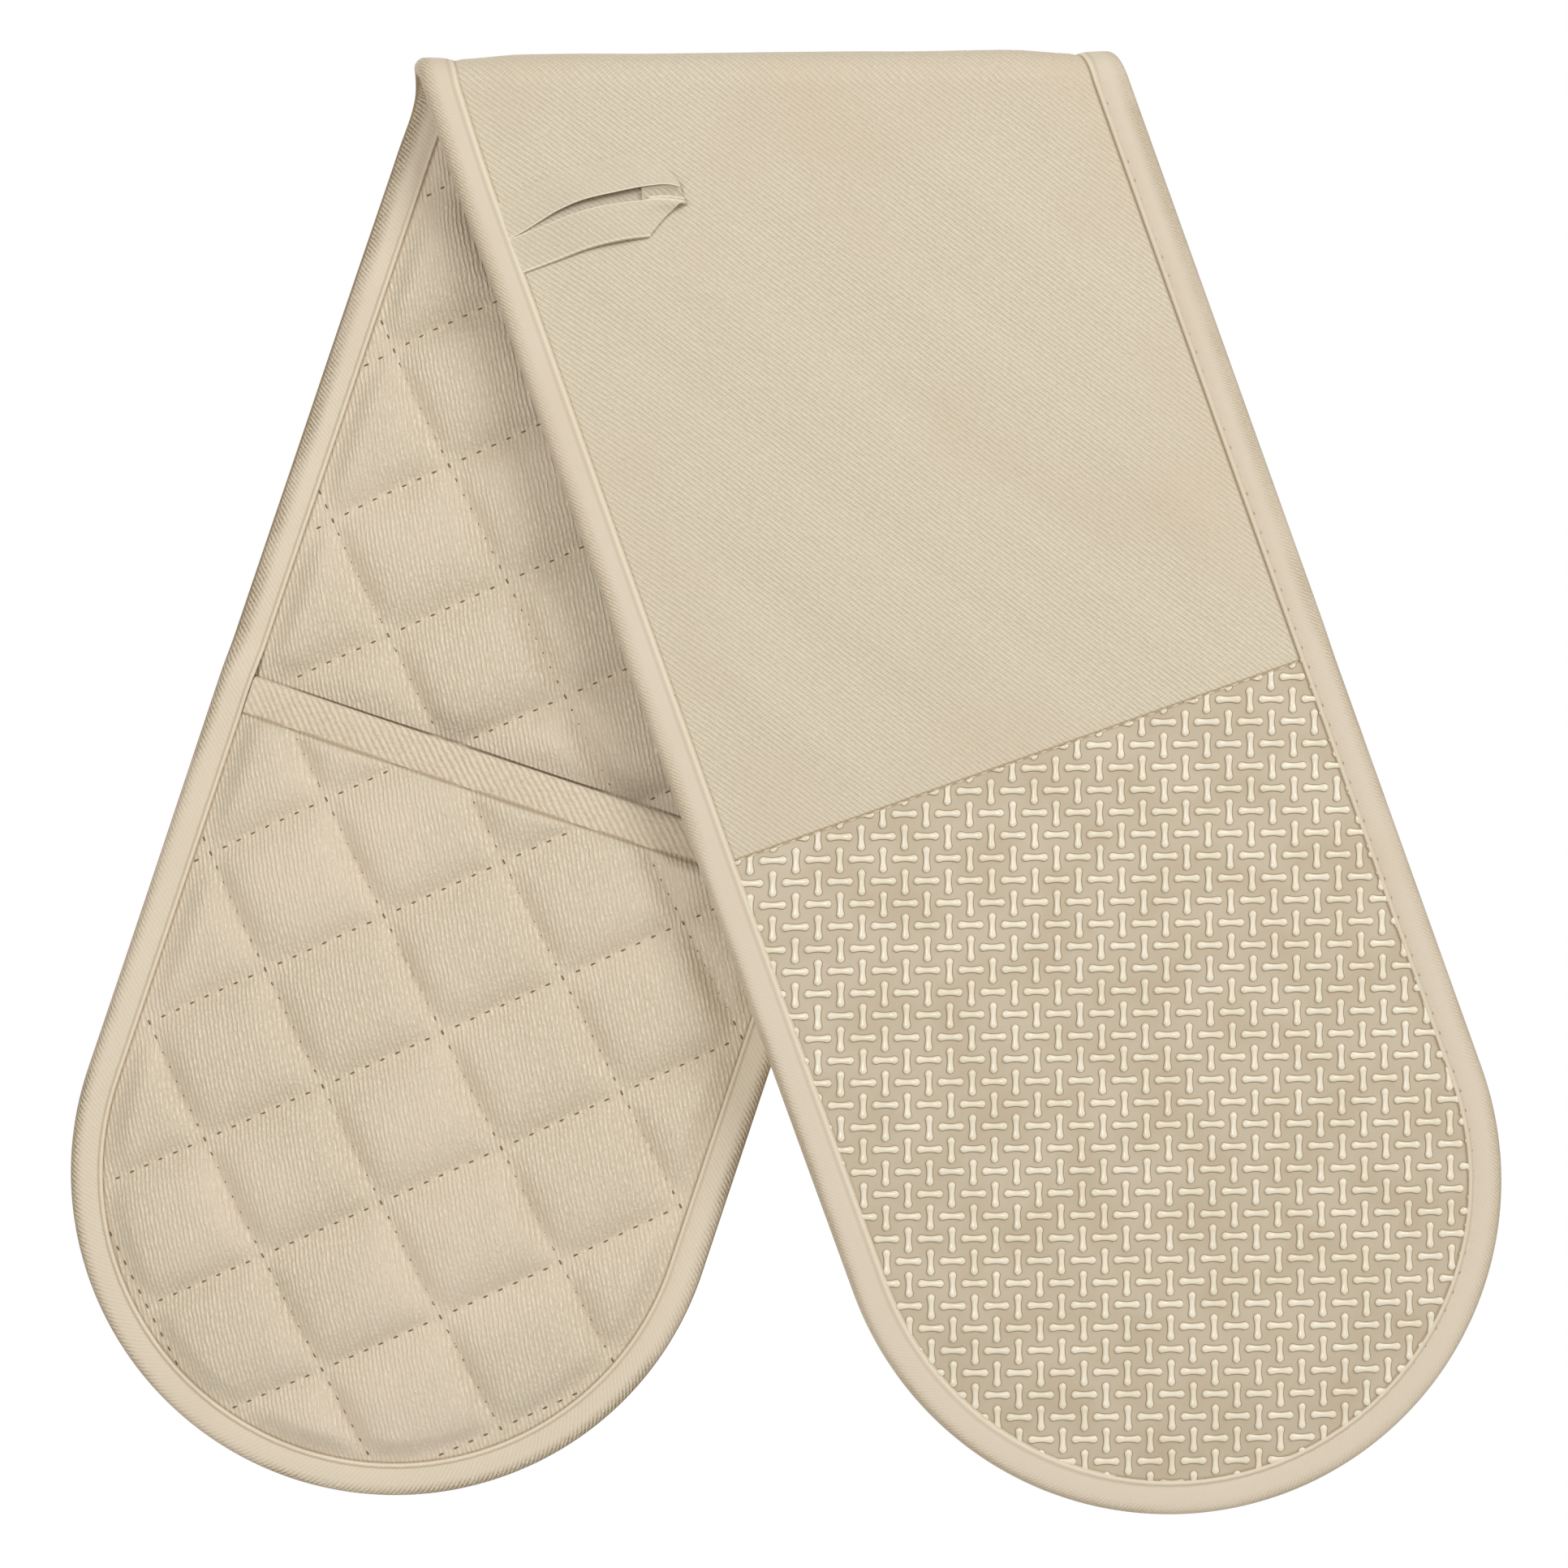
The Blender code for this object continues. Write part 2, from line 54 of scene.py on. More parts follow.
HALF = WIDTH / 2
END_DOWN = REACH - HALF  # to the centre of the round end
LINING_FACE = SHELL + INSULATION + 2 * CLEARANCE + QUILT
OUTER_RADIUS = BEND_RADIUS + LINING_FACE
NEUTRAL_RADIUS = OUTER_RADIUS - LINING_FACE / 2
BEND_ANGLE = math.pi / 2 - TILT
BEND_HALF = NEUTRAL_RADIUS * BEND_ANGLE
PADDING_OUT = -SHELL - CLEARANCE / 2
PALM_FACE = -(SHELL + INSULATION + 2 * CLEARANCE + HAND_LINING)
POCKET_OUT = PALM_FACE - EDGE_ROOM
POCKET_FACE = POCKET_OUT - HAND_LINING - CLEARANCE - QUILT

# Sizes of the looks alone
TAPE_WIDTH = 0.0100  # as it shows in the photograph
HEM_HALF = HALF - TAPE_WIDTH
CLOTH_HALF = HALF - 0.0016  # inside the fold of the tape
SPLIT_DOWN = 0.168  # where the strip's upper pieces end and its lower ones start
STRIP_PARTS = {"upper": (0.0, SPLIT_DOWN), "lower": (SPLIT_DOWN, SEAM_DOWN)}  # from and to, down the strip
MITT_BLEND = 0.010  # each side of the seam
QUILT_CROWN = 0.0051
QUILT_FADE = 0.009
MOUTH_FADE = 0.005
POCKET_CROSS = (0.0536, 0.2980)  # the pocket's own lies higher
QUILT_VALLEY = 0.0006  # rounding into a line of stitching
PUFF_FLATNESS = (5.0, 2.9)  # of a puff's middle, across each family
PUFF_UNREST = (0.12, 0.09)  # share of the height, over a distance
SEAM_BAND = 0.004
SEAM_PUFFS = 0.7  # the share left at the seam
CLOTH_STEP = 0.0016
QUILT_STEP = 0.0011
POCKET_START = MOUTH_DOWN + 0.0012
ROUND_STOP = math.radians(88)  # where a mitt's cloths stop
SHARP_ANGLE = math.radians(50)

# How the outer cloth stands off its padding
TWILL_STAND_OFF = 0.0012
TWILL_SETTLE = 0.020  # from the hem
TWILL_WAVES = ((0.0010, 0.0, 0.075), (0.00040, 0.02, 0.034))  # height, shift and length
CREST_RISE = (0.0005, 0.003, 0.012)  # height, reach from the hem and the fold
FOLD_CALM = (0.85, 0.030)  # share of the waves, and its reach
SILICONE_SLACK = 0.5  # its share of the waves
SILICONE_SLACK_REACH = 0.03  # above the seam

# The tape's section in millimetres: distances in from the edge, and heights with each kind of hem
TAPE_IN = (10.00, 9.92, 9.65, 9.30, 8.96, 8.68, 8.46, 8.16, 7.48, 6.10, 4.25, 2.40)
TAPE_HEIGHTS = {
    "rolled": (0.12, 0.60, 0.90, 0.98, 0.84, 0.56, 0.40, 0.48, 0.72, 0.96, 1.10, 1.08),
    "plain": (0.12, 0.40, 0.50, 0.60, 0.70, 0.76, 0.81, 0.86, 0.94, 1.04, 1.12, 1.08),
    "flat": (0.12, 0.50, 0.58, 0.62, 0.66, 0.68, 0.70, 0.72, 0.76, 0.80, 0.82, 0.80),
}
TAPE_STEP = 0.0016
TAPE_THICK = 0.00042
TAPE_GROOVE = 6  # the point of the section where it is sewn
TAPE_GROOVE_WIDTH = 0.0008
TAPE_ROUND_STEPS = 12
TAPE_STITCH_PITCH = 0.0058
TAPE_STITCH_DIP = 0.00028  # deeper at a stitch
TAPE_LEAST = 0.00003  # height of its inside
ROLL_GROWS = (0.004, 0.020)  # from the fold: a hem's roll starts and grows
DEEPER = (0.010, 0.014)  # above the seam: the tape starts to take in the pocket, and over what length
ROLL_ROUND = (0.2, 1.6)  # the same for the plain hem, in radians round the end
MOUTH_TAPE_ROOM = 0.0008  # off its cloth
MOUTH_HEM = MOUTH_DOWN + MOUTH_WIDTH
MOUTH_INSET = 0.0004  # from the hems

# Hanging loop: curves in millimetres, as (along from the hem, down the strip)
LOOP_WIDTH = 0.0108
LOOP_TUCK = 0.0010  # under the hem of the edge tape
LOOP_BEND = 0.008  # from the hem: it thickens over this
LOOP_THICK = 0.0008
LOOP_EDGE_THICK = 0.0004
LOOP_LIFT = 0.0026  # how far its eye stands off the twill
LOOP_LOW = 0.0001  # the same where it is sewn
LOOP_RISE = (0.03, 0.55)  # shares of its length, from the hem
LOOP_TIP = (0.75, 0.2)  # the eye's edge drops, over the last share
LOOP_STEPS = (70, 17)  # along and across a length
LOOP_ENDS = ((0.0486, 0.0084, 2.3), (0.0476, 0.0124, 1.0))  # of each length: furthest, cut off, by what power
LOOP_UPPER_LINE = (
    (-2, 29.1), (1, 29.1), (7, 28.05), (13, 26.85), (18, 26.5),
    (30, 27.45), (41, 29.2), (45.5, 30.5), (48.6, 32.3),
)
LOOP_LOWER_LINE = (
    (-2, 29.2), (1, 29.2), (10, 29.2), (18, 29.25), (30, 30.75),
    (36, 32.0), (42, 33.6), (45.4, 35.2), (48.6, 37.1),
)
LOOP_FOLDS = {
    "back": (0.0384, -0.0014, 0.0, ((36, 26.9), (45.5, 29.5), (49, 31.6))),
    "middle": (0.0392, -0.0011, 0.0005, ((38, 31.4), (39.3, 31.6), (42.3, 32.4), (45.8, 33.8), (49, 35.6))),
    "front": (
        0.0378, -0.0008, 0.0005,
        ((37, 32.1), (38, 32.2), (40.2, 32.55), (43.8, 33.9), (46.6, 35.2), (49, 36.8)),
    ),
}  # of each layer in the tip: where it starts, its height from the eye's edge, its roll, its upper edge
LOOP_ROLL_WIDTH = 0.0009
LOOP_ROLL_MIDDLE = 0.0004  # where its painted highlight runs
LOOP_UNSHADED = 0.009  # the upper length's painted shades and highlights end here
LOOP_AXIS_LIES = 0.0015
LOOP_FOLD_EDGE = 0.0012  # below which a layer drops away

# Stitching
QUILT_STITCH = (0.0017, 0.00062)  # length and width
SEAM_STITCH = (0.0021, 0.0005)
GROOVE_STITCH = (0.0012, 0.00050)
HEM_SPECK = (0.0011, 0.00055)
STITCH_RISE = 0.55  # height of a stitch, as a share of its width
QUILT_STITCHES = 8  # from one crossing of the lines to the next
QUILT_STITCH_SINK = 0.0001  # into the face
QUILT_STITCH_START = BEND_HALF + 0.002  # past the middle of the fold
STITCH_TO_HEM = 0.0004  # the quilting's least distances
STITCH_TO_MOUTH = 0.001
SEAM_PITCH = 0.0036
SEAM_STITCH_TURN = 0.05
SEAM_STITCH_DOWN = SEAM_DOWN + 0.0002
GROOVE_START = 0.02  # past the middle of the fold
GROOVE_STOP = END_DOWN + 0.10  # down the arm and on round its end
GROOVE_LIES = 0.00012  # over the twill
SPECK_PITCH = 0.0080
SPECK_STOP = END_DOWN + 0.06
SPECK_LIES = 0.0005
HEM_THREAD = (0.0006, 0.0002, 0.0012)  # thickness, height over the twill, steps
HEM_THREAD_STOP = END_DOWN + 0.09

# Silicone bars
BAR_PITCH = (0.00615, 0.00633)
BAR_LENGTH = 0.0072
BAR_END_WIDTH = 0.0023
BAR_WAIST_WIDTH = 0.0016
BAR_HEIGHT = 0.00080
BAR_SKIRT = 0.00030  # the moulding's foot round each bar
BAR_CUT = 0.0006  # where tape or seam cuts a bar off
BAR_LEAST = 0.06  # the share of its height that it keeps there
BAR_DROP = 0.0003  # upright bars sit this much lower
BAR_START = (0.00093, 0.00321)  # of one flat bar, across and down
BAR_ROWS = range(80)
BAR_COLUMNS = range(-10, 50)
BAR_LIMIT = HEM_HALF + 0.0008  # pressed in under the tape
BAR_SINK = 0.00005  # into the face
BAR_WALL = 0.00012  # the upright part of its sides
BAR_RINGS = 6
BAR_END_ANGLES = (84, 68, 45, 20)
BAR_SECTION = 6
SILICONE_FACE = 0.00015

# How far out an arm's edge hangs from straight, at distances past the fold's middle, in millimetres
EDGE_SHIFTS = {
    "front": (
        (0, 0.6), (12, 1.2), (30, 1.8), (80, 1.6), (130, 1.5),
        (175, 1.3), (230, 1.1), (296, 0.6), (356, 0),
    ),
    "back": (
        (0, 0.6), (11, -2.3), (26, -2.4), (45, -2.2), (64, -1.95),
        (111, -1.5), (158, -1), (253, -0.4), (295, 0),
    ),
}
EDGE_SHIFT_REACH = 0.020  # inward from the hem

# Camera, as fitted to the photograph's frame
CAMERA_AT = (0.0035, -0.8051, -0.2036)
CAMERA_LENS = 63.93
CAMERA_TURN = (math.radians(90 - 0.165), math.radians(-0.02), math.radians(-0.55))  # pitch, yaw, roll

# Light and floor
WORLD_LEVEL = 0.385
WORLD_COLOUR = (1.0, 0.914, 0.75, 1.0)
LAMPS = {
    "key": ((1.0, -1.22, 0.7), 0.95, 14.6, (0.965, 0.985, 0.99)),
    "fill": ((-0.6, -1.8, 0.1), 0.8, 12.8, (0.99, 0.985, 0.965)),
}  # place, size, power and colour in front; each has a twin behind
LAMPS_AIM = (0.0, 0.0, -0.2)
FLOOR_DOWN = 1.6
FLOOR_RADIUS = 3.0
FLOOR_COLOUR = (0.92, 0.93, 0.95, 1.0)

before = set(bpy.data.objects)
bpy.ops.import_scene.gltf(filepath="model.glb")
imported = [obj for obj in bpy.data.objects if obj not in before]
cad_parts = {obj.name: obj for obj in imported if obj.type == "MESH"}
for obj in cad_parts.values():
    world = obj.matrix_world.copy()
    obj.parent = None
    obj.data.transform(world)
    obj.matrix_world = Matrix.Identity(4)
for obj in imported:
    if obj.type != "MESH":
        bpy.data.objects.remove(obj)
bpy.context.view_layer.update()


# The strip's flat frame


def carried(flat, arm):
    """Flat points carried round the fold and down an arm, front or back."""
    x, y, z = np.moveaxis(np.asarray(flat, float), -1, 0)
    x = hung(x, y, arm)
    past = past_middle(x, y)
    angle = np.clip(past, -BEND_HALF, BEND_HALF) / NEUTRAL_RADIUS
    straight = past - np.clip(past, -BEND_HALF, BEND_HALF)
    radius = OUTER_RADIUS + z
    across = x * math.cos(SPLAY) - y * math.sin(SPLAY)
    forward = -radius * np.sin(angle) - straight * np.cos(angle)
    up = -BEND_RADIUS + radius * np.cos(angle) - np.abs(straight) * np.sin(np.abs(angle))
    side = 1 if arm == "front" else -1
    return xyz(across * side, forward * side, up)


def hung(x, y, arm):
    """x, shifted near the edge that shows on the left as that edge hangs."""
    side = -1 if arm == "front" else 1
    near = eased((side * x - HEM_HALF + EDGE_SHIFT_REACH) / EDGE_SHIFT_REACH)
    return x + side * near * through(EDGE_SHIFTS[arm], past_middle(x, y))


def on_middle(x):
    """y on the middle of the fold."""
    return -x * math.tan(SPLAY)


def past_middle(x, y):
    return -y * math.cos(SPLAY) - x * math.sin(SPLAY)


def out_from_middle(x, y):
    """Distance from the arm's middle line, or from the centre of its round end."""
    return np.hypot(x, np.maximum(0.0, -y - END_DOWN))


def put_at(local, x, y, direction):
    """x and y of flat points of a small form, turned and put at a place."""
    c, s = math.cos(direction), math.sin(direction)
    return x + local[:, 0] * c - local[:, 1] * s, y + local[:, 0] * s + local[:, 1] * c


def eased(share):
    share = np.clip(share, 0.0, 1.0)
    return share * share * (3 - 2 * share)


def through(points, at):
    """A smooth curve through points in millimetres, asked for and given in metres."""
    places, values = np.array(points).T / 1000
    slopes = np.gradient(values, places)
    place = np.clip(np.searchsorted(places, at) - 1, 0, len(places) - 2)
    step = places[place + 1] - places[place]
    share = np.clip((at - places[place]) / step, 0, 1)
    rest = 1 - share
    ends = values[place] * (1 + 2 * share) * rest**2 + values[place + 1] * (1 + 2 * rest) * share**2
    return ends + step * share * rest * (slopes[place] * rest - slopes[place + 1] * share)


def steps_in(length, step):
    return max(2, math.ceil(length / step) + 1)


# Meshes


def xyz(*coordinates):
    """Points from their coordinates, each an array or one number for all."""
    return np.stack(np.broadcast_arrays(*coordinates), -1)


def cells(index):
    """Quads between neighbours in a grid of point numbers."""
    return np.stack([index[:-1, :-1], index[1:, :-1], index[1:, 1:], index[:-1, 1:]], -1).reshape(-1, 4)


def slab(top, bottom):
    """Points and quads of a closed slab between two grids of points."""
    rows, columns = top.shape[:2]
    upper = np.arange(rows * columns).reshape(rows, columns)
    lower = upper + rows * columns
    rims = [(grid[0], grid[-1], grid[:, 0], grid[:, -1]) for grid in (upper, lower)]
    walls = [cells(np.stack(pair)) for pair in zip(*rims)]
    faces = np.concatenate([cells(upper), cells(lower)] + walls)
    return np.concatenate([top.reshape(-1, 3), bottom.reshape(-1, 3)]), faces


def tube(rings, caps):
    """Points and quads of a tube through rings of points, closed by quads at the caps' corners."""
    index = np.arange(len(rings) * len(rings[0])).reshape(len(rings), -1)
    around = np.concatenate([index, index[:, :1]], 1)
    ends = [ring[corners] for ring in index[[0, -1]] for corners in caps]
    return np.concatenate(rings), np.concatenate([cells(around), ends])


def make_piece(name, points, faces, cloth, material):
    """A mesh object whose points keep their place on the cloth."""
    mesh = bpy.data.meshes.new(name)
    mesh.from_pydata(points.tolist(), [], faces.tolist())
    place_on_cloth = mesh.attributes.new("cloth", "FLOAT_VECTOR", "POINT")
    place_on_cloth.data.foreach_set("vector", np.ascontiguousarray(cloth, np.float32).ravel())
    bm = bmesh.new()
    bm.from_mesh(mesh)
    bmesh.ops.recalc_face_normals(bm, faces=bm.faces[:])
    bm.to_mesh(mesh)
    bm.free()
    mesh.polygons.foreach_set("use_smooth", [True] * len(mesh.polygons))
    mesh.set_sharp_from_angle(angle=SHARP_ANGLE)
    mesh.materials.append(MATERIALS[material])
    return add_object(name, mesh)


def add_object(name, data):
    made = bpy.data.objects.new(name, data)
    bpy.context.scene.collection.objects.link(made)
    return made


def make_slab(name, x, y, top, bottom, arm, material):
    """A cloth between two heights over a flat grid, carried to its arm."""
    points, faces = slab(xyz(x, y, top), xyz(x, y, bottom))
    return make_piece(name, carried(points, arm), faces, points, material)


# Materials


def add_node(tree, kind, inputs=None, **settings):
    node = tree.nodes.new("ShaderNode" + kind)
    for key, value in settings.items():
        setattr(node, key, value)
    for key, value in (inputs or {}).items():
        if isinstance(value, bpy.types.NodeSocket):
            tree.links.new(value, node.inputs[key])
        else:
            node.inputs[key].default_value = value
    return node


def linear(colour):
    """A display colour, 0 to 255, as Blender's linear colour."""
    shares = [c / 255 for c in colour]
    return [s / 12.92 if s <= 0.04045 else ((s + 0.055) / 1.055) ** 2.4 for s in shares] + [1.0]


def value_of(tree, operation, one, other=0.0):
    return add_node(tree, "Math", {0: one, 1: other}, operation=operation).outputs[0]


def mixed(tree, share, one, other):
    """A colour between two, each a socket or a display colour."""
    inputs = {0: share}
    for place, colour in ((6, one), (7, other)):
        inputs[place] = colour if isinstance(colour, bpy.types.NodeSocket) else linear(colour)
    return add_node(tree, "Mix", inputs, data_type="RGBA").outputs[2]


def ranged(tree, value, low, high, to_low=0.0, to_high=1.0):
    inputs = {0: value, 1: low, 2: high, 3: to_low, 4: to_high}
    return add_node(tree, "MapRange", inputs, interpolation_type="SMOOTHSTEP").outputs[0]


def axis_of(tree, cloth, axis):
    """How far a point is from 0 along one axis of the cloth."""
    return value_of(tree, "ABSOLUTE", add_node(tree, "SeparateXYZ", {0: cloth}).outputs[axis])


def noise(tree, vector, scale, detail, **more):
    inputs = {"Vector": vector, "Scale": scale, "Detail": detail} | more
    return add_node(tree, "TexNoise", inputs).outputs["Fac"]


def new_material(name, roughness, sheen=0.0, specular=0.25):
    """A material, its nodes, and the place on the cloth among them."""
    material = bpy.data.materials.new(name)
    material.use_nodes = True
    tree = material.node_tree
    inputs = tree.nodes["Principled BSDF"].inputs
    inputs["Roughness"].default_value = roughness
    inputs["Sheen Weight"].default_value = sheen
    inputs["Sheen Roughness"].default_value = 0.5
    inputs["Specular IOR Level"].default_value = specular
    return material, tree, add_node(tree, "Attribute", attribute_name="cloth").outputs["Vector"]


def finish_material(material, colour, height, relief, strength=1.0):
    tree = material.node_tree
    inputs = tree.nodes["Principled BSDF"].inputs
    bump = add_node(tree, "Bump", {"Height": height, "Distance": relief, "Strength": strength})
    tree.links.new(colour, inputs["Base Color"])
    tree.links.new(bump.outputs[0], inputs["Normal"])
    return material


def turned_to(tree, cloth, angle):
    """The place on the cloth, turned so that lines at that angle run along its second axis."""
    turn = {"Vector": cloth, "Angle": math.pi / 2 - angle}
    return add_node(tree, "VectorRotate", turn, rotation_type="Z_AXIS").outputs[0]


def lines_at(tree, cloth, angle, pitch, wobble):
    """Waves from 0 to 1 across lines at that angle."""
    place = {"Vector": turned_to(tree, cloth, angle), "Scale": math.pi / 10 / pitch}
    uneven = {"Distortion": wobble, "Detail": 2.0, "Detail Scale": 0.9}
    return add_node(tree, "TexWave", place | uneven, wave_type="BANDS", bands_direction="X").outputs["Fac"]


def weave_height(tree, cloth, angle, pitch, wobble, crossing):
    """Ribs at that angle, broken by a crossing thread and by the unevenness of the yarn."""
    rib = lines_at(tree, cloth, angle, pitch, wobble)
    cross = lines_at(tree, cloth, angle + math.radians(72), pitch * 0.62, wobble * 1.4)
    stretched = add_node(tree, "Mapping", {"Vector": turned_to(tree, cloth, angle), "Scale": (1.0, 0.4, 1.0)})
    yarn = ranged(tree, noise(tree, stretched.outputs[0], 2.2 / pitch, 2.0, Roughness=0.65), 0.25, 0.75)
    broken = value_of(tree, "MULTIPLY", rib, ranged(tree, yarn, 0.0, 0.7, 0.35, 0.8 - crossing))
    parts = [broken, value_of(tree, "MULTIPLY", cross, crossing)]
    return value_of(tree, "ADD", value_of(tree, "ADD", *parts), value_of(tree, "MULTIPLY", yarn, 0.2))


def beside_hem(tree, cloth):
    """How deep a point lies in the narrow shade beside the hem of the edge tape."""
    below = value_of(tree, "MAXIMUM", value_of(tree, "SUBTRACT", axis_of(tree, cloth, 1), END_DOWN))
    squares = [value_of(tree, "MULTIPLY", one, one) for one in (axis_of(tree, cloth, 0), below)]
    out = value_of(tree, "SQRT", value_of(tree, "ADD", *squares))
    return ranged(tree, out, HEM_HALF - HEM_SHADE_WIDTH, HEM_HALF, 0.0, HEM_SHADE)


def beside_hem_and_seam(tree, cloth):
    """The same, and along the seam between the twill and the silicone."""
    from_seam = value_of(tree, "ABSOLUTE", value_of(tree, "SUBTRACT", axis_of(tree, cloth, 1), SEAM_DOWN))
    seam = ranged(tree, from_seam, 0.0002, 0.0008, HEM_SHADE, 0.0)
    return value_of(tree, "MAXIMUM", beside_hem(tree, cloth), seam)


def woven(
    name, light, dark, tint, angle, pitch,
    wobble=1.2, crossing=0.0, contrast=0.5, relief=0.00022, fineness=1.0, mask=None, shades=(),
):
    """Cloth with fine ribs: two thread colours, a tint in large patches, relief, and painted shades and
    highlights under masks.
    """
    material, tree, cloth = new_material(name, 0.88, sheen=0.15)
    patches = ranged(tree, noise(tree, cloth, 16.0, 3.0), 0.45, 0.72, 0.0, 0.6)
    height = value_of(tree, "POWER", weave_height(tree, cloth, angle, pitch, wobble, crossing), fineness)
    shown = mask(tree, cloth) if mask else 1.0
    height = value_of(tree, "MULTIPLY", height, shown)
    share = value_of(tree, "MULTIPLY", value_of(tree, "SUBTRACT", shown, height), contrast)
    colour = mixed(tree, patches, mixed(tree, share, light, dark), tint)
    for shade, shade_colour in shades:
        colour = mixed(tree, shade(tree, cloth), colour, shade_colour)
    return finish_material(material, colour, height, relief)


def band(axis, share, grows=None, dies=None):
    """A mask along one axis of the cloth, which grows over one pair of distances and dies over another."""

    def mask(tree, cloth):
        away = axis_of(tree, cloth, axis)
        shown = ranged(tree, away, *dies, share, 0.0) if dies else share
        return value_of(tree, "MULTIPLY", shown, ranged(tree, away, *grows)) if grows else shown

    return mask


def creases(tree, cloth):
    """How strongly the tape's creases show: unevenly along it, and most near its outer edge."""
    uneven = ranged(tree, noise(tree, cloth, 30.0, 2.0), 0.35, 0.55, 0.65, 1.0)
    near_edge = ranged(tree, axis_of(tree, cloth, 1), 0.0035, 0.0075, 1.0, 0.15)
    return value_of(tree, "MULTIPLY", uneven, near_edge)


def rubber(name, colour, shade, roughness, relief, foot=None):
    """Moulded silicone in two tones mixed in patches; given a foot colour, painted shade where a bar meets
    the face, and otherwise painted shade beside the hem and the seam.
    """
    material, tree, cloth = new_material(name, roughness, specular=0.5)
    body = mixed(tree, ranged(tree, noise(tree, cloth, 60.0, 3.0), 0.35, 0.7), colour, shade)
    if foot:
        body = mixed(tree, ranged(tree, axis_of(tree, cloth, 2), 0.0, BAR_HEIGHT * 0.7), foot, body)
    else:
        body = mixed(tree, beside_hem_and_seam(tree, cloth), body, FOLD_SHADE)
    return finish_material(material, body, noise(tree, cloth, 900.0, 2.0), relief)


def sewing_thread(name, colour, shade):
    material, tree, cloth = new_material(name, 0.7, sheen=0.2)
    plies = {"Vector": turned_to(tree, cloth, THREAD_ANGLE), "Scale": 900.0, "Distortion": 0.4}
    twist = add_node(tree, "TexWave", plies).outputs["Fac"]
    return finish_material(material, mixed(tree, twist, shade, colour), twist, 0.00008, strength=0.8)


TWILL_ANGLE = math.radians(-37.5) - SPLAY  # the ribs run down to the right in the photograph
TWILL_PITCH = 0.00128
LINING_ANGLE = math.radians(61)
TAPE_ANGLE = math.radians(-50)
MOUTH_TAPE_ANGLE = math.radians(137)
THREAD_ANGLE = math.pi / 2 - 0.9

# Painted shade beside the hems and in folds: its strength, width and colour; and the colour of painted
# highlights on rolled edges.
HEM_SHADE = 0.6
HEM_SHADE_WIDTH = 0.0010
FOLD_SHADE = (150, 126, 88)
EDGE_HIGHLIGHT = (246, 238, 222)

# Painted shades and highlights, as a mask and a colour. Axis 2 of a tape or the loop is the distance from its
# hem.
# Painted shade on the pocket's lining just below the mouth tape's hem.
SHADE_BELOW_MOUTH = (
    band(1, 0.55, grows=(MOUTH_HEM - 0.001, MOUTH_HEM), dies=(MOUTH_HEM + 0.0002, MOUTH_HEM + 0.0010)),
    FOLD_SHADE,
)
# Painted shade along the tape's outer fold, which darkens its outline.
OUTER_CREASE_SHADE = (band(1, 0.8, dies=(0.0020, 0.0030)), FOLD_SHADE)
# Painted shade in the groove beside the tape's hem.
HEM_GROOVE_SHADE = (band(2, 0.22, grows=(0.0012, 0.0019), dies=(0.0019, 0.0028)), FOLD_SHADE)
# Painted highlight on the roll of the tape's hem.
HEM_ROLL_HIGHLIGHT = (band(2, 0.35, grows=(0.0002, 0.0006), dies=(0.0009, 0.0013)), EDGE_HIGHLIGHT)
# Painted highlight along the edges of the loop's eye and along the middle of each fold's roll.
LOOP_EYE_EDGE_HIGHLIGHT = (band(2, 0.6, dies=(0.00015, 0.0005)), EDGE_HIGHLIGHT)
# Painted highlight just inside the lower length's lower edge.
LOOP_HEM_HIGHLIGHT = (band(2, 0.5, grows=(LOOP_WIDTH - 0.0011, LOOP_WIDTH - 0.0007)), EDGE_HIGHLIGHT)
# Painted shade on the lower length's lower edge.
LOOP_OUTLINE_SHADE = (band(2, 0.75, grows=(LOOP_WIDTH - 0.0005, LOOP_WIDTH - 0.0002)), FOLD_SHADE)

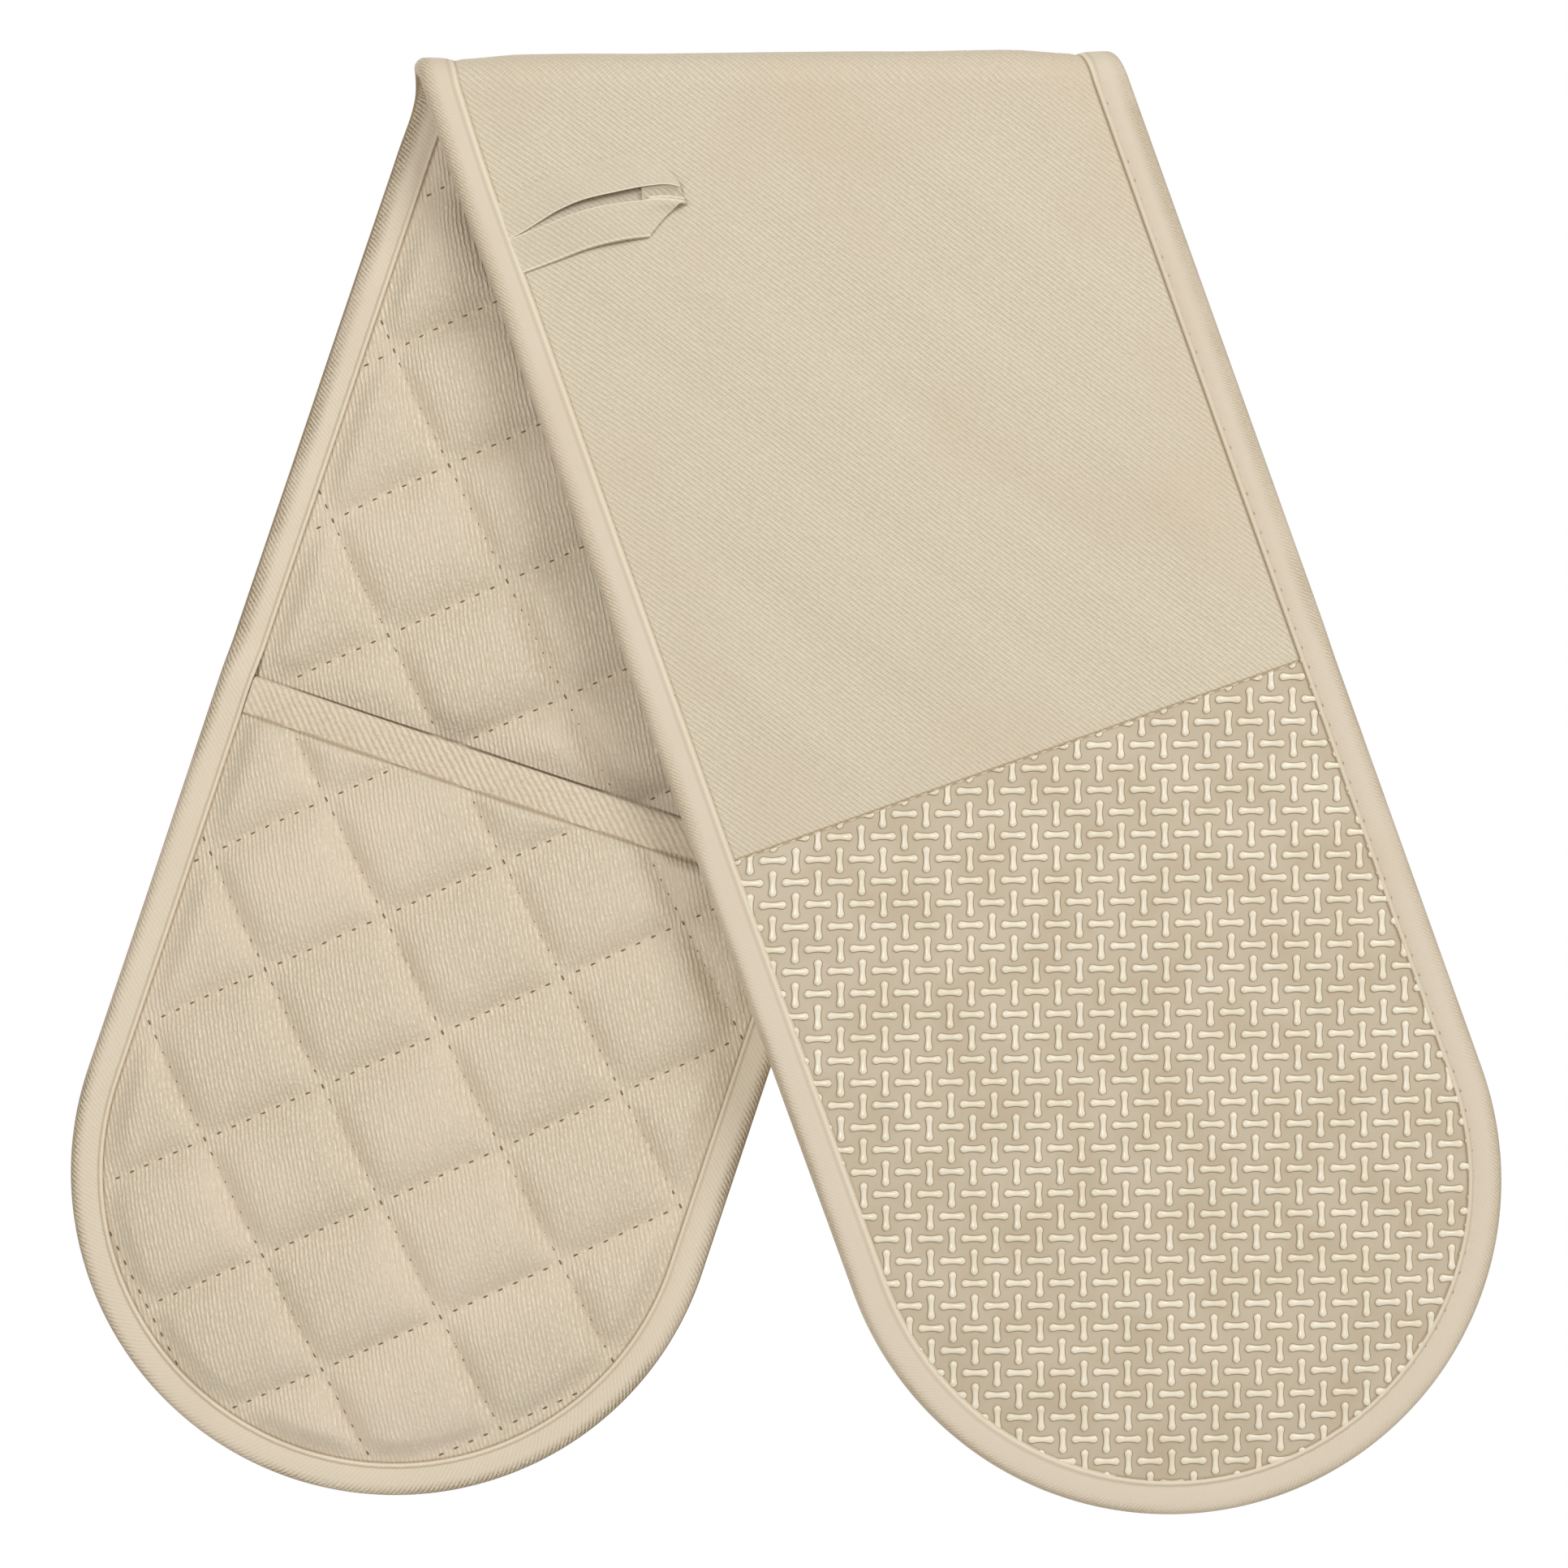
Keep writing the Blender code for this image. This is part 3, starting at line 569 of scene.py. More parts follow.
MATERIALS = {
    "twill": woven(
        "twill", (231, 222, 205), (191, 178, 155), (214, 197, 178), TWILL_ANGLE, TWILL_PITCH,
        wobble=1.3, crossing=0.30, contrast=0.8, relief=0.0003, shades=((beside_hem_and_seam, FOLD_SHADE),),
    ),
    "lining": woven(
        "lining", (244, 234, 218), (192, 175, 147), (235, 220, 203), LINING_ANGLE, 0.00132,
        wobble=2.5, contrast=0.75, relief=0.0004, shades=((beside_hem, FOLD_SHADE), SHADE_BELOW_MOUTH),
    ),
    "creased_tape": woven(
        "creased_tape", (224, 213, 196), (150, 128, 94), (219, 205, 188), TAPE_ANGLE, 0.00115,
        wobble=1.6, relief=0.0005, contrast=1.6, fineness=0.4, mask=creases,
        shades=(OUTER_CREASE_SHADE, HEM_GROOVE_SHADE, HEM_ROLL_HIGHLIGHT),
    ),
    "tape": woven(
        "tape", (220, 209, 193), (176, 156, 124), (215, 201, 184), TAPE_ANGLE, 0.0009,
        wobble=3.0, relief=0.0002, contrast=1.0, fineness=0.6, mask=creases, shades=(HEM_GROOVE_SHADE, HEM_ROLL_HIGHLIGHT),
    ),
    "mouth_tape": woven(
        "mouth_tape", (230, 218, 201), (168, 148, 116), (224, 209, 192), MOUTH_TAPE_ANGLE, 0.0017,
        wobble=2.0, relief=0.0002, contrast=0.75, fineness=0.5,
    ),
    "loop": woven(
        "loop", (224, 215, 198), (190, 176, 152), (219, 205, 188), TWILL_ANGLE, TWILL_PITCH,
        crossing=0.15, contrast=0.6, shades=(LOOP_EYE_EDGE_HIGHLIGHT, LOOP_HEM_HIGHLIGHT, LOOP_OUTLINE_SHADE),
    ),
    "silicone": rubber("silicone", (196, 183, 164), (188, 174, 152), 0.42, 0.00003),
    # The bars' last colour is their foot: painted shade where a bar meets the face.
    "bars": rubber("bars", (238, 230, 214), (230, 220, 201), 0.15, 0.00001, (150, 130, 96)),
    # The quilting thread is real; its dark colour also stands in for the painted shade of the dimple each
    # stitch sinks into.
    "quilt_thread_dimple_shade": sewing_thread("quilt_thread_dimple_shade", (142, 118, 80), (104, 82, 50)),
    "light_thread": sewing_thread("light_thread", (236, 226, 205), (206, 192, 166)),
    "groove_thread": sewing_thread("groove_thread", (186, 166, 130), (150, 130, 96)),
}


# Shapes of the cloths


def from_lines(x, y, cross):
    """A point's distance from the nearest line of stitching in each family."""
    down = -y - cross[1]
    across = x - cross[0]
    for angle, pitch in zip(QUILT_ANGLES, QUILT_PITCHES):
        place = (across * math.cos(angle) + down * math.sin(angle)) / pitch
        yield np.abs(place - np.round(place)) * pitch, pitch


def puff(x, y, cross):
    """Height of the quilting's puffs, from 0 at the stitching to 1 in the middle."""
    height = 1.0
    for (away, pitch), flatness in zip(from_lines(x, y, cross), PUFF_FLATNESS):
        rounded = np.hypot(away, QUILT_VALLEY) - QUILT_VALLEY
        from_middle = np.maximum(0.0, 1 - 2 * rounded / (pitch - 2 * QUILT_VALLEY))
        height = height * (1 - from_middle**flatness)
    return height * (1 + PUFF_UNREST[0] * unrest(x, y, PUFF_UNREST[1]))


def unrest(x, y, size):
    """Slow, uneven swelling of a cloth, from -1 to 1."""
    waves = ((1.0, 0.31, 0.4), (-0.62, 0.93, 2.1), (0.27, -1.21, 4.0), (1.7, 1.1, 1.3))
    total = sum(np.sin((a * x + b * y) * 2 * math.pi / size + c) for a, b, c in waves)
    return total / len(waves)


def hand_room(x, y):
    """How far the pocket stands off the palm."""
    share = np.minimum(1.0, out_from_middle(x, y) / HEM_HALF)
    return HAND_ROOM * (1 - share * share)


def strip_puffs(x, y):
    """Puffs that die away at the strip's edges, and at the seam where the pocket lies close."""
    from_edge = np.minimum(HEM_HALF - np.abs(x), past_middle(x, y) - BEND_HALF - SEAM_BAND)
    room = SEAM_PUFFS * np.clip(hand_room(x, 0 * y) / QUILT_CROWN, 0, 1)
    share = eased(from_edge / QUILT_FADE) * (room + (1 - room) * eased((SEAM_DOWN + y) / QUILT_FADE))
    return QUILT_CROWN * puff(x, y, QUILT_CROSS) * share


def pocket_puffs(x, y):
    share = eased((HEM_HALF - out_from_middle(x, y)) / QUILT_FADE)
    share = share * eased((-y - MOUTH_DOWN - MOUTH_WIDTH * 0.8) / MOUTH_FADE)
    return QUILT_CROWN * puff(x, y, POCKET_CROSS) * share


def strip_face(x, y):
    """Height of the strip's quilted face, which looks inward."""
    return -LINING_FACE - strip_puffs(x, y)


def pocket_face(x, y):
    return POCKET_FACE - hand_room(x, y) - pocket_puffs(x, y)


def twill_swell(x, y):
    """How far the outer cloth stands off its padding, in slow waves, away from the tape."""
    within = HEM_HALF - out_from_middle(x, y)
    past = past_middle(x, y)
    rise, rise_in, rise_past = CREST_RISE
    crest = rise * eased(within / rise_in) * np.exp(-((past / rise_past) ** 2))
    waves = sum(height * unrest(x + shift, y, length) for height, shift, length in TWILL_WAVES)
    slack = SILICONE_SLACK + (1 - SILICONE_SLACK) * eased((y + SEAM_DOWN) / SILICONE_SLACK_REACH)
    slack = slack * (1 - FOLD_CALM[0] * np.exp(-((past / FOLD_CALM[1]) ** 2)))
    return crest + eased(within / TWILL_SETTLE) * (TWILL_STAND_OFF + slack * waves)


def strip_grid(part, step):
    """Flat x and y of a grid over a part of a strip."""
    start, stop = STRIP_PARTS[part]
    x = np.linspace(-CLOTH_HALF, CLOTH_HALF, steps_in(2 * CLOTH_HALF, step))[None, :]
    top = -start + 0 * x if start else on_middle(x)
    share = np.linspace(0, 1, steps_in(stop - start, step))[:, None]
    return x, top + (-stop - top) * share


def mitt_grid(start_down, step):
    """The same for the round end of an arm: rows across, down to near its tip."""
    across = np.linspace(-1, 1, steps_in(2 * CLOTH_HALF, step))[None, :]
    down = np.linspace(start_down, END_DOWN, steps_in(END_DOWN - start_down, step))[:-1]
    turn = np.linspace(0, ROUND_STOP, steps_in(CLOTH_HALF * ROUND_STOP, step))
    halves = np.concatenate([np.full_like(down, CLOTH_HALF), CLOTH_HALF * np.cos(turn)])[:, None]
    downs = np.concatenate([down, END_DOWN + CLOTH_HALF * np.sin(turn)])[:, None]
    return across * halves, -downs


# Tape


def tape_flange(styles, drop):
    """Distances in and heights of one flange, from shares of sections, pressed down where it is sewn."""
    height = sum(share * np.array(TAPE_HEIGHTS[style]) for style, share in styles.items()) / 1000
    inward = np.array(TAPE_IN) / 1000
    from_groove = (inward - inward[TAPE_GROOVE]) / TAPE_GROOVE_WIDTH
    return xyz(inward, height - drop * np.exp(-(from_groove**2)))


def tape_section(inner_face, drop, styles):
    """Outside and inside of the folded tape as (distance in from the edge, height), from hem to hem."""
    flange = tape_flange(styles, drop)
    other = tape_flange({"flat" if "flat" in styles else "rolled": 1.0}, drop)
    middle = inner_face / 2
    rise = flange[-1, 1] - middle
    turn = np.linspace(0, math.pi, TAPE_ROUND_STEPS + 1)[:, None]
    depth = flange[-1, 0]

    def edge(inset):
        inward = depth - (depth - inset) * np.sin(turn)
        return np.concatenate([inward, middle + (rise - inset) * np.cos(turn)], 1)

    def both(upper, lower, rounded):
        return np.concatenate([upper, rounded[1:-1], lower[::-1] * (1, -1) + (0, inner_face)])

    def hollow(upper):
        return xyz(upper[:, 0], np.maximum(upper[:, 1] - TAPE_THICK, TAPE_LEAST))

    return both(flange, other, edge(0.0)), both(hollow(flange), hollow(other), edge(TAPE_THICK))


def sewn_dip(along):
    return TAPE_STITCH_DIP * np.cos(math.pi * along / TAPE_STITCH_PITCH) ** 6


def tape_sheet(name, stations, arm, material, hand=1):
    """A tape through stations: place along, inner face, shares of sections, and their place in the flat."""
    outer, inner, cloth = [], [], []
    for along, inner_face, styles, put in stations:
        outside, inside = tape_section(inner_face, 0.0 if "flat" in styles else sewn_dip(along), styles)
        outer.append(put(outside))
        inner.append(put(inside))
        girth = np.concatenate([[0], np.cumsum(np.hypot(*np.diff(outside, axis=0).T))])
        from_hem = np.minimum(girth, girth[-1] - girth)
        girth = hand * (girth - girth[-1] / 2)
        cloth.append(xyz(along, girth, from_hem))
    points, faces = slab(np.array(outer), np.array(inner))
    cloth = np.array(cloth).reshape(-1, 3)
    return make_piece(name, carried(points, arm), faces, np.concatenate([cloth, cloth]), material)


def straight_stations(side, style):
    """Down one side of a strip, from the middle of the fold to the split."""
    count = steps_in(SPLIT_DOWN, TAPE_STEP)
    for step in range(count):
        share = step / (count - 1)

        def put(section, share=share):
            x = side * (HALF - section[:, 0])
            top = on_middle(x)
            return xyz(x, top + (-SPLIT_DOWN - top) * share, section[:, 1])

        along = SPLIT_DOWN * share
        rolled = float(eased((along - ROLL_GROWS[0]) / ROLL_GROWS[1])) if style == "rolled" else 0.0
        yield along, -LINING_FACE, {"rolled": rolled, "plain": 1 - rolled}, put


def mitt_stations(style):
    """Down one side from the split, round the end and up the other side, where the hem is always rolled."""
    straight = END_DOWN - SPLIT_DOWN
    whole = 2 * straight + math.pi * HALF
    count = steps_in(whole, TAPE_STEP)
    for step in range(count):
        along = whole * step / (count - 1)
        turn = min(math.pi, max(0.0, (along - straight) / HALF))
        down, deeper = END_DOWN, 1.0
        if turn in (0.0, math.pi):
            down = SPLIT_DOWN + min(along, whole - along)
            deeper = float(eased((down - SEAM_DOWN + DEEPER[0]) / DEEPER[1]))
        inner_face = -LINING_FACE + (POCKET_FACE + LINING_FACE) * deeper

        def put(section, turn=turn, down=down):
            radius = HALF - section[:, 0]
            return xyz(-radius * math.cos(turn), -down - radius * math.sin(turn), section[:, 1])

        plain = 1 - float(eased((turn - ROLL_ROUND[0]) / ROLL_ROUND[1])) if style == "plain" else 0.0
        yield SPLIT_DOWN + along, inner_face, {"plain": plain, "rolled": 1 - plain}, put


def mouth_stations():
    """Along the pocket's mouth, standing off with the pocket."""
    reach = HEM_HALF - MOUTH_INSET
    thickness = POCKET_OUT - POCKET_FACE
    squeeze = MOUTH_WIDTH / TAPE_WIDTH
    count = steps_in(2 * reach, TAPE_STEP)
    for step in range(count):
        x = -reach + 2 * reach * step / (count - 1)
        lift = POCKET_OUT - float(hand_room(x, -MOUTH_DOWN))

        def put(section, x=x, lift=lift):
            height = np.clip(section[:, 1], -thickness - MOUTH_TAPE_ROOM, MOUTH_TAPE_ROOM)
            return xyz(x, -MOUTH_DOWN - section[:, 0] * squeeze, height + lift)

        yield x, -thickness, {"flat": 1.0}, put


# Stitches


def stitch_points(length, width, height):
    """A half-round stitch along x: its points and quads."""
    turn = np.linspace(0, math.pi, 6)
    rows = []
    for share in (-1.0, -0.8, -0.3, 0.3, 0.8, 1.0):
        full = math.sqrt(max(0.0, 1 - share**4))
        across = np.cos(turn) * width / 2 * max(full, 0.08)
        rise = np.sin(turn) * height * max(full, 0.05)
        rows.append(xyz(share * length / 2, across, rise))
    return tube(rows, ([0, 1, 2, 3], [0, 3, 4, 5]))


def make_stitches(name, places, size, arm, thread, facing=1):
    """One mesh of stitches at (x, y, z, direction) in the flat frame; facing is 1 outward, -1 inward."""
    length, width = size
    local, quads = stitch_points(length, width, width * STITCH_RISE)
    points, faces = [], []
    for number, (x, y, z, direction) in enumerate(places):
        points.append(xyz(*put_at(local, x, y, direction), z + facing * local[:, 2]))
        faces.append(quads + number * len(local))
    points = np.concatenate(points)
    return make_piece(name, carried(points, arm), np.concatenate(faces), points, thread)


def quilt_stitches(cross, inside, face):
    """Places of the quilting's stitches where inside(x, y) holds, sunk a little into the face."""
    middle = np.array([cross[0], -cross[1]])
    normals = [np.array([math.cos(angle), -math.sin(angle)]) for angle in QUILT_ANGLES]
    places = []
    for family in (0, 1):
        normal, other = normals[family], normals[1 - family]
        spacing, other_spacing = QUILT_PITCHES[family], QUILT_PITCHES[1 - family]
        along = np.array([-normal[1], normal[0]])
        direction = math.atan2(along[1], along[0])
        for line in range(-10, 11):
            start = middle + normal * line * spacing
            skew = other @ (normal * line * spacing)
            for step in range(-100, 101):
                if family and step % QUILT_STITCHES == 0:
                    continue
                x, y = start + along * (step / QUILT_STITCHES * other_spacing - skew) / (other @ along)
                if inside(x, y):
                    places.append((x, y, float(face(x, y) + QUILT_STITCH_SINK), direction))
    return places


# Silicone bars


def bar_points():
    """One bar lying along x: its points and quads, closed underneath."""
    end, waist = BAR_END_WIDTH / 2, BAR_WAIST_WIDTH / 2
    straight = BAR_LENGTH / 2 - end
    stations = []
    for angle in np.radians(BAR_END_ANGLES):
        stations.append((-straight - end * math.sin(angle), end * math.cos(angle)))
    for share in np.linspace(1, 0, BAR_RINGS):
        stations.append((-straight * share, waist + (end - waist) * share**2))
    stations += [(-x, half) for x, half in reversed(stations[:-1])]
    turn = np.linspace(0, math.pi, BAR_SECTION)
    rows = []
    for x, half in stations:
        height = BAR_HEIGHT * min(1.0, (half / end) ** 0.7) * (1.0 if abs(x) > straight * 0.6 else 0.9)
        foot = half + BAR_SKIRT
        side = np.concatenate([[foot], half * np.cos(turn), [-foot]])
        rise = np.concatenate([[0.0], BAR_WALL + height * np.sin(turn) ** 0.8, [0.0]])
        rows.append(xyz(x * (1 + BAR_SKIRT / BAR_LENGTH), side, rise))
    return tube(rows, ([0, 1, 6, 7], [1, 2, 5, 6], [2, 3, 4, 5]))


def world_to_flat(across, down):
    """Flat x and y of a place on the front arm, given across and down in the world's upright plane."""
    past = (down - OUTER_RADIUS) / math.cos(TILT) + BEND_HALF
    x = across * math.cos(SPLAY) - past * math.sin(SPLAY)
    y = -across * math.sin(SPLAY) - past * math.cos(SPLAY)
    return x, y


def make_bars(name, arm):
    """The raised pattern: flat and upright bars by turns, cut off at the seam and at the tape."""
    local, quads = bar_points()
    points, faces, cloth = [], [], []
    for row in BAR_ROWS:
        for column in BAR_COLUMNS:
            across = BAR_START[0] + column * BAR_PITCH[0]
            down = BAR_START[1] + row * BAR_PITCH[1]
            upright = (row + column) % 2
            middle = world_to_flat(across, down + upright * BAR_DROP)
            x, y = put_at(local, *middle, -SPLAY + upright * math.pi / 2)
            out = out_from_middle(x, y)
            room = np.minimum(HEM_HALF + BAR_CUT - out, -y - SEAM_DOWN)
            if room.max() < BAR_CUT:
                continue
            shrink = np.minimum(1.0, BAR_LIMIT / np.maximum(out, 1e-6))
            below = -y - END_DOWN
            y = np.where(below > 0, -END_DOWN - below * shrink, y)
            x, y = x * shrink, np.minimum(y, -SEAM_DOWN)
            height = local[:, 2] * np.clip(room / BAR_CUT, BAR_LEAST, 1.0)
            points.append(xyz(x, y, SILICONE_FACE - BAR_SINK + twill_swell(x, y) + height))
            cloth.append(xyz(x, y, height))
            faces.append(quads + (len(points) - 1) * len(local))
    points = carried(np.concatenate(points), arm)
    return make_piece(name, points, np.concatenate(faces), np.concatenate(cloth), "bars")


# Hanging loop


def eye_height(along):
    """How far the edges of the loop's eye stand off the twill."""
    start, reach = LOOP_RISE
    return LOOP_LOW + LOOP_LIFT * eased((along / LOOP_LENGTH + start) / reach)


def make_loop_cloth(name, along, down, lie, thick, from_edge):
    """A cloth of the loop, from the sewn end outward and from its upper edge down."""
    x = -HEM_HALF + along
    grown = eased((along + LOOP_TUCK) / LOOP_BEND)
    bottom = lie + twill_swell(x, -down)
    top = bottom + LOOP_EDGE_THICK + (thick - LOOP_EDGE_THICK) * grown
    points, faces = slab(xyz(x, -down, top), xyz(x, -down, bottom))
    cloth = np.column_stack([points[:, :2], np.tile((from_edge + 0 * x).ravel(), 2)])
    return make_piece(name, carried(points, "front"), faces, cloth, "loop")


def make_loop_length(name, side, line, end):
    """One of the loop's two lengths of tape: side -1 is the upper, 1 the lower."""
    rows, columns = LOOP_STEPS
    share, across = np.linspace(0, 1, rows)[:, None], np.linspace(0, 1, columns)[None, :]
    furthest, cut, power = end
    along = -LOOP_TUCK + share * (furthest - cut * across**power + LOOP_TUCK)
    down = through(line, along) + side * LOOP_WIDTH * across
    thick = LOOP_THICK * (1 - 0.6 * np.abs(2 * across - 1) ** 8)
    drop, tip = LOOP_TIP
    stands = 0.9 - across * (0.9 - 0.8 * along / LOOP_LENGTH) if side > 0 else (1 - across) ** 1.3
    stands = stands * (1 - drop * eased(across / 0.4) * eased((share - 1 + tip) / tip))
    from_edge = np.minimum(LOOP_WIDTH * across, 1.0 if side > 0 else LOOP_UNSHADED)
    return make_loop_cloth(name, along, down, eye_height(along) * stands, thick, from_edge)


def make_loop_fold(name, start, lie, rolled, line):
    """A layer of the folded tip, which shows in the eye, with its upper edge rolled over."""
    below = np.concatenate([np.linspace(0, 0.0011, 10), [0.0014, 0.0030, 0.0050]])[None, :]
    start = start - 0.34 * below
    along = start + np.linspace(0, 1, 26)[:, None] * (LOOP_LENGTH - start)
    roll = rolled * np.sin(math.pi * np.clip(below / LOOP_ROLL_WIDTH, 0, 1)) ** 0.7
    under = np.maximum(0.0, below - LOOP_FOLD_EDGE)
    lie = np.maximum(0.0002, eye_height(along) + lie - 0.00025 * (under > 0) - 0.3 * under)
    lowest = through(LOOP_LOWER_LINE, along) + 0.0003 + 0.004 * np.clip((0.0465 - along) / 0.0080, 0, 1)
    down = np.minimum(through(line, along) + below * 1.2, lowest)
    return make_loop_cloth(name, along, down, lie, 0.0005 + roll, np.abs(below - LOOP_ROLL_MIDDLE))


def make_loop():
    upper = make_loop_length("loop_upper_length", -1, LOOP_UPPER_LINE, LOOP_ENDS[0])
    lower = make_loop_length("loop_lower_length", 1, LOOP_LOWER_LINE, LOOP_ENDS[1])
    folds = [make_loop_fold(f"loop_fold_{place}", *fold) for place, fold in LOOP_FOLDS.items()]
    for piece, inner in ((upper, []), (lower, folds)):
        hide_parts("hanging_loop")
        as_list(inner)
    bend_from = np.array([-HEM_HALF, -LOOP_DOWN, LOOP_AXIS_LIES])
    start, end = carried([bend_from, bend_from + (LOOP_BEND, 0, 0)], "front")
    for piece in [upper, lower] + folds:
        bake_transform(piece)


# Arms


def bend(piece, arm, part="mitt"):
    """Bakes a piece's transform into its mesh."""
    if part == "upper":
        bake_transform(piece)
        return
    start, end = carried([(0, MITT_BLEND - SEAM_DOWN, 0), (0, -MITT_BLEND - SEAM_DOWN, 0)], arm)
    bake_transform(piece)


def make_twill(arm):
    for part, (start, stop) in STRIP_PARTS.items():
        x, y = strip_grid(part, CLOTH_STEP)
        piece = make_slab(f"{arm}_twill_{part}", x, y, twill_swell(x, y), -SHELL, arm, "twill")
        crest = ["crest_shell"] if part == "upper" else []
        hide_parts(*crest, f"{arm}_strip_shell")
        bend(piece, arm, part)


def make_quilting(arm):
    for part in STRIP_PARTS:
        x, y = strip_grid(part, QUILT_STEP)
        piece = make_slab(f"{arm}_quilting_{part}", x, y, PADDING_OUT, strip_face(x, y), arm, "lining")
        crest = ["crest_insulation", "crest_lining"] if part == "upper" else []
        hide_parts(*crest, f"{arm}_strip_insulation", f"{arm}_quilted_lining")
        bend(piece, arm, part)

    x, y = mitt_grid(SEAM_DOWN, CLOTH_STEP)
    palm = make_slab(f"{arm}_palm_padding", x, y, PADDING_OUT, PALM_FACE, arm, "lining")
    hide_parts(f"{arm}_mitt_insulation", f"{arm}_mitt_lining")

    x, y = mitt_grid(POCKET_START, QUILT_STEP)
    out = POCKET_OUT - hand_room(x, y)
    pocket = make_slab(f"{arm}_pocket_quilting", x, y, out, pocket_face(x, y), arm, "lining")
    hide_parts(f"{arm}_pocket_lining", f"{arm}_pocket_panel")
    for piece in (palm, pocket):
        bend(piece, arm)


def make_tapes(arm):
    tape = "creased_tape" if arm == "back" else "tape"
    world_sides = ("left", "right") if arm == "front" else ("right", "left")
    for side, place, world_side in zip((-1, 1), ("inner", "outer"), world_sides):
        stations = straight_stations(side, "plain" if arm == "front" and side < 0 else "rolled")
        piece = tape_sheet(f"{arm}_binding_{place}", stations, arm, tape, hand=-side)
        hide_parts(f"crest_edge_tape_{world_side}", f"{arm}_edge_tape_{place}")
        bend(piece, arm, "upper")

    stations = mitt_stations("plain" if arm == "front" else "rolled")
    mitt = tape_sheet(f"{arm}_binding_mitt", stations, arm, tape)
    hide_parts(f"{arm}_edge_tape_inner", f"{arm}_edge_tape_outer", f"{arm}_mitt_edge_tape")

    mouth = tape_sheet(f"{arm}_mouth_binding", mouth_stations(), arm, "mouth_tape")
    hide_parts(f"{arm}_mouth_tape")
    for piece in (mitt, mouth):
        bend(piece, arm)


def make_silicone(arm):
    x, y = mitt_grid(SEAM_DOWN, CLOTH_STEP)
    face = SILICONE_FACE + twill_swell(x, y)
    patch = make_slab(f"{arm}_silicone_face", x, y, face, -SHELL, arm, "silicone")
    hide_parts(f"{arm}_silicone_patch")
    for piece in (patch, make_bars(f"{arm}_silicone_bars", arm)):
        bend(piece, arm)


def make_arm_stitches(arm):
    edge = HEM_HALF - STITCH_TO_HEM

    def on_strip(x, y):
        past_fold = past_middle(x, y) > QUILT_STITCH_START
        return abs(x) < edge and past_fold and -y < MOUTH_DOWN - STITCH_TO_MOUTH

    def on_pocket(x, y):
        return out_from_middle(x, y) < edge and -y > MOUTH_HEM + STITCH_TO_MOUTH

    strip = quilt_stitches(QUILT_CROSS, on_strip, strip_face)
    groups = {
        "upper": [place for place in strip if -place[1] < SPLIT_DOWN],
        "lower": [place for place in strip if -place[1] >= SPLIT_DOWN],
        "pocket": quilt_stitches(POCKET_CROSS, on_pocket, pocket_face),
    }
    for part, places in groups.items():
        name = f"{arm}_quilt_stitches_{part}"
        bend(make_stitches(name, places, QUILT_STITCH, arm, "quilt_thread_dimple_shade", facing=-1), arm, part)

    count = int(2 * HEM_HALF / SEAM_PITCH)
    places = []
    for step in range(count):
        x = SEAM_PITCH * (step - (count - 1) / 2)
        z = SILICONE_FACE + float(twill_swell(x, -SEAM_DOWN))
        places.append((x, -SEAM_STITCH_DOWN, z, SEAM_STITCH_TURN))
    bend(make_stitches(f"{arm}_seam_stitches", places, SEAM_STITCH, arm, "light_thread"), arm)


def tape_path(side, half, start, stop, step):
    """Places along the edge tape, half from the arm's middle line, from start down to stop and round."""
    for along in np.arange(start, stop, step):
        turn = max(0.0, (along - END_DOWN) / half)
        down = min(along, END_DOWN) + half * math.sin(turn)
        yield side * half * math.cos(turn), -down, side * (math.pi / 2 - turn)


def make_groove_stitches(arm):
    """The seam's stitches in the rolled tape's groove, and the light specks beside the silicone."""
    half = HALF - TAPE_IN[TAPE_GROOVE] / 1000
    top = math.tan(SPLAY) * half + GROOVE_START
    groove = (GROOVE_LIES, TAPE_STITCH_PITCH, GROOVE_STITCH, "groove_thread")
    speck = (SPECK_LIES, SPECK_PITCH, HEM_SPECK, "light_thread")
    for name, path, (z, pitch, size, thread) in (
        ("groove_stitches_lower", (half, SPLIT_DOWN, GROOVE_STOP), groove),
        ("groove_stitches_upper", (half, top, SPLIT_DOWN), groove),
        ("hem_specks", (HEM_HALF, SEAM_DOWN, SPECK_STOP), speck),
    ):
        places = [(x, y, z, direction) for x, y, direction in tape_path(1, *path, pitch)]
        bend(make_stitches(f"{arm}_{name}", places, size, arm, thread), arm, name.split("_")[-1])


def make_hem_threads():
    """The thread that shows along the plain hem."""
    thickness, lies, step = HEM_THREAD
    ring = np.linspace(0, 2 * math.pi, 9)
    inward, rise = thickness / 2 * np.cos(ring), lies + thickness / 2 * np.sin(ring)
    top = -math.tan(SPLAY) * HEM_HALF
    for part, start, stop in (("upper", top, SPLIT_DOWN), ("lower", SPLIT_DOWN, HEM_THREAD_STOP)):
        rows = []
        for x, y, direction in tape_path(-1, HEM_HALF, start, stop, step):
            s, c = math.sin(direction), math.cos(direction)
            rows.append(xyz(x - inward * s, y + inward * c, rise))
        points = np.concatenate(rows)
        faces = cells(np.arange(len(points)).reshape(len(rows), -1))
        name = f"front_hem_thread_{part}"
        bend(make_piece(name, carried(points, "front"), faces, points, "light_thread"), "front", part)


# Stage


def make_lamp(name, place, size, power, colour):
    lamp = bpy.data.lights.new(name, "AREA")
    lamp.color = colour
    lamp.shape = "DISK"
    lamp.size = size
    lamp.energy = power
    lamp_object = add_object(name, lamp)
    lamp_object.location = place
    lamp_object.rotation_euler = (Vector(LAMPS_AIM) - Vector(place)).to_track_quat("-Z", "Y").to_euler()


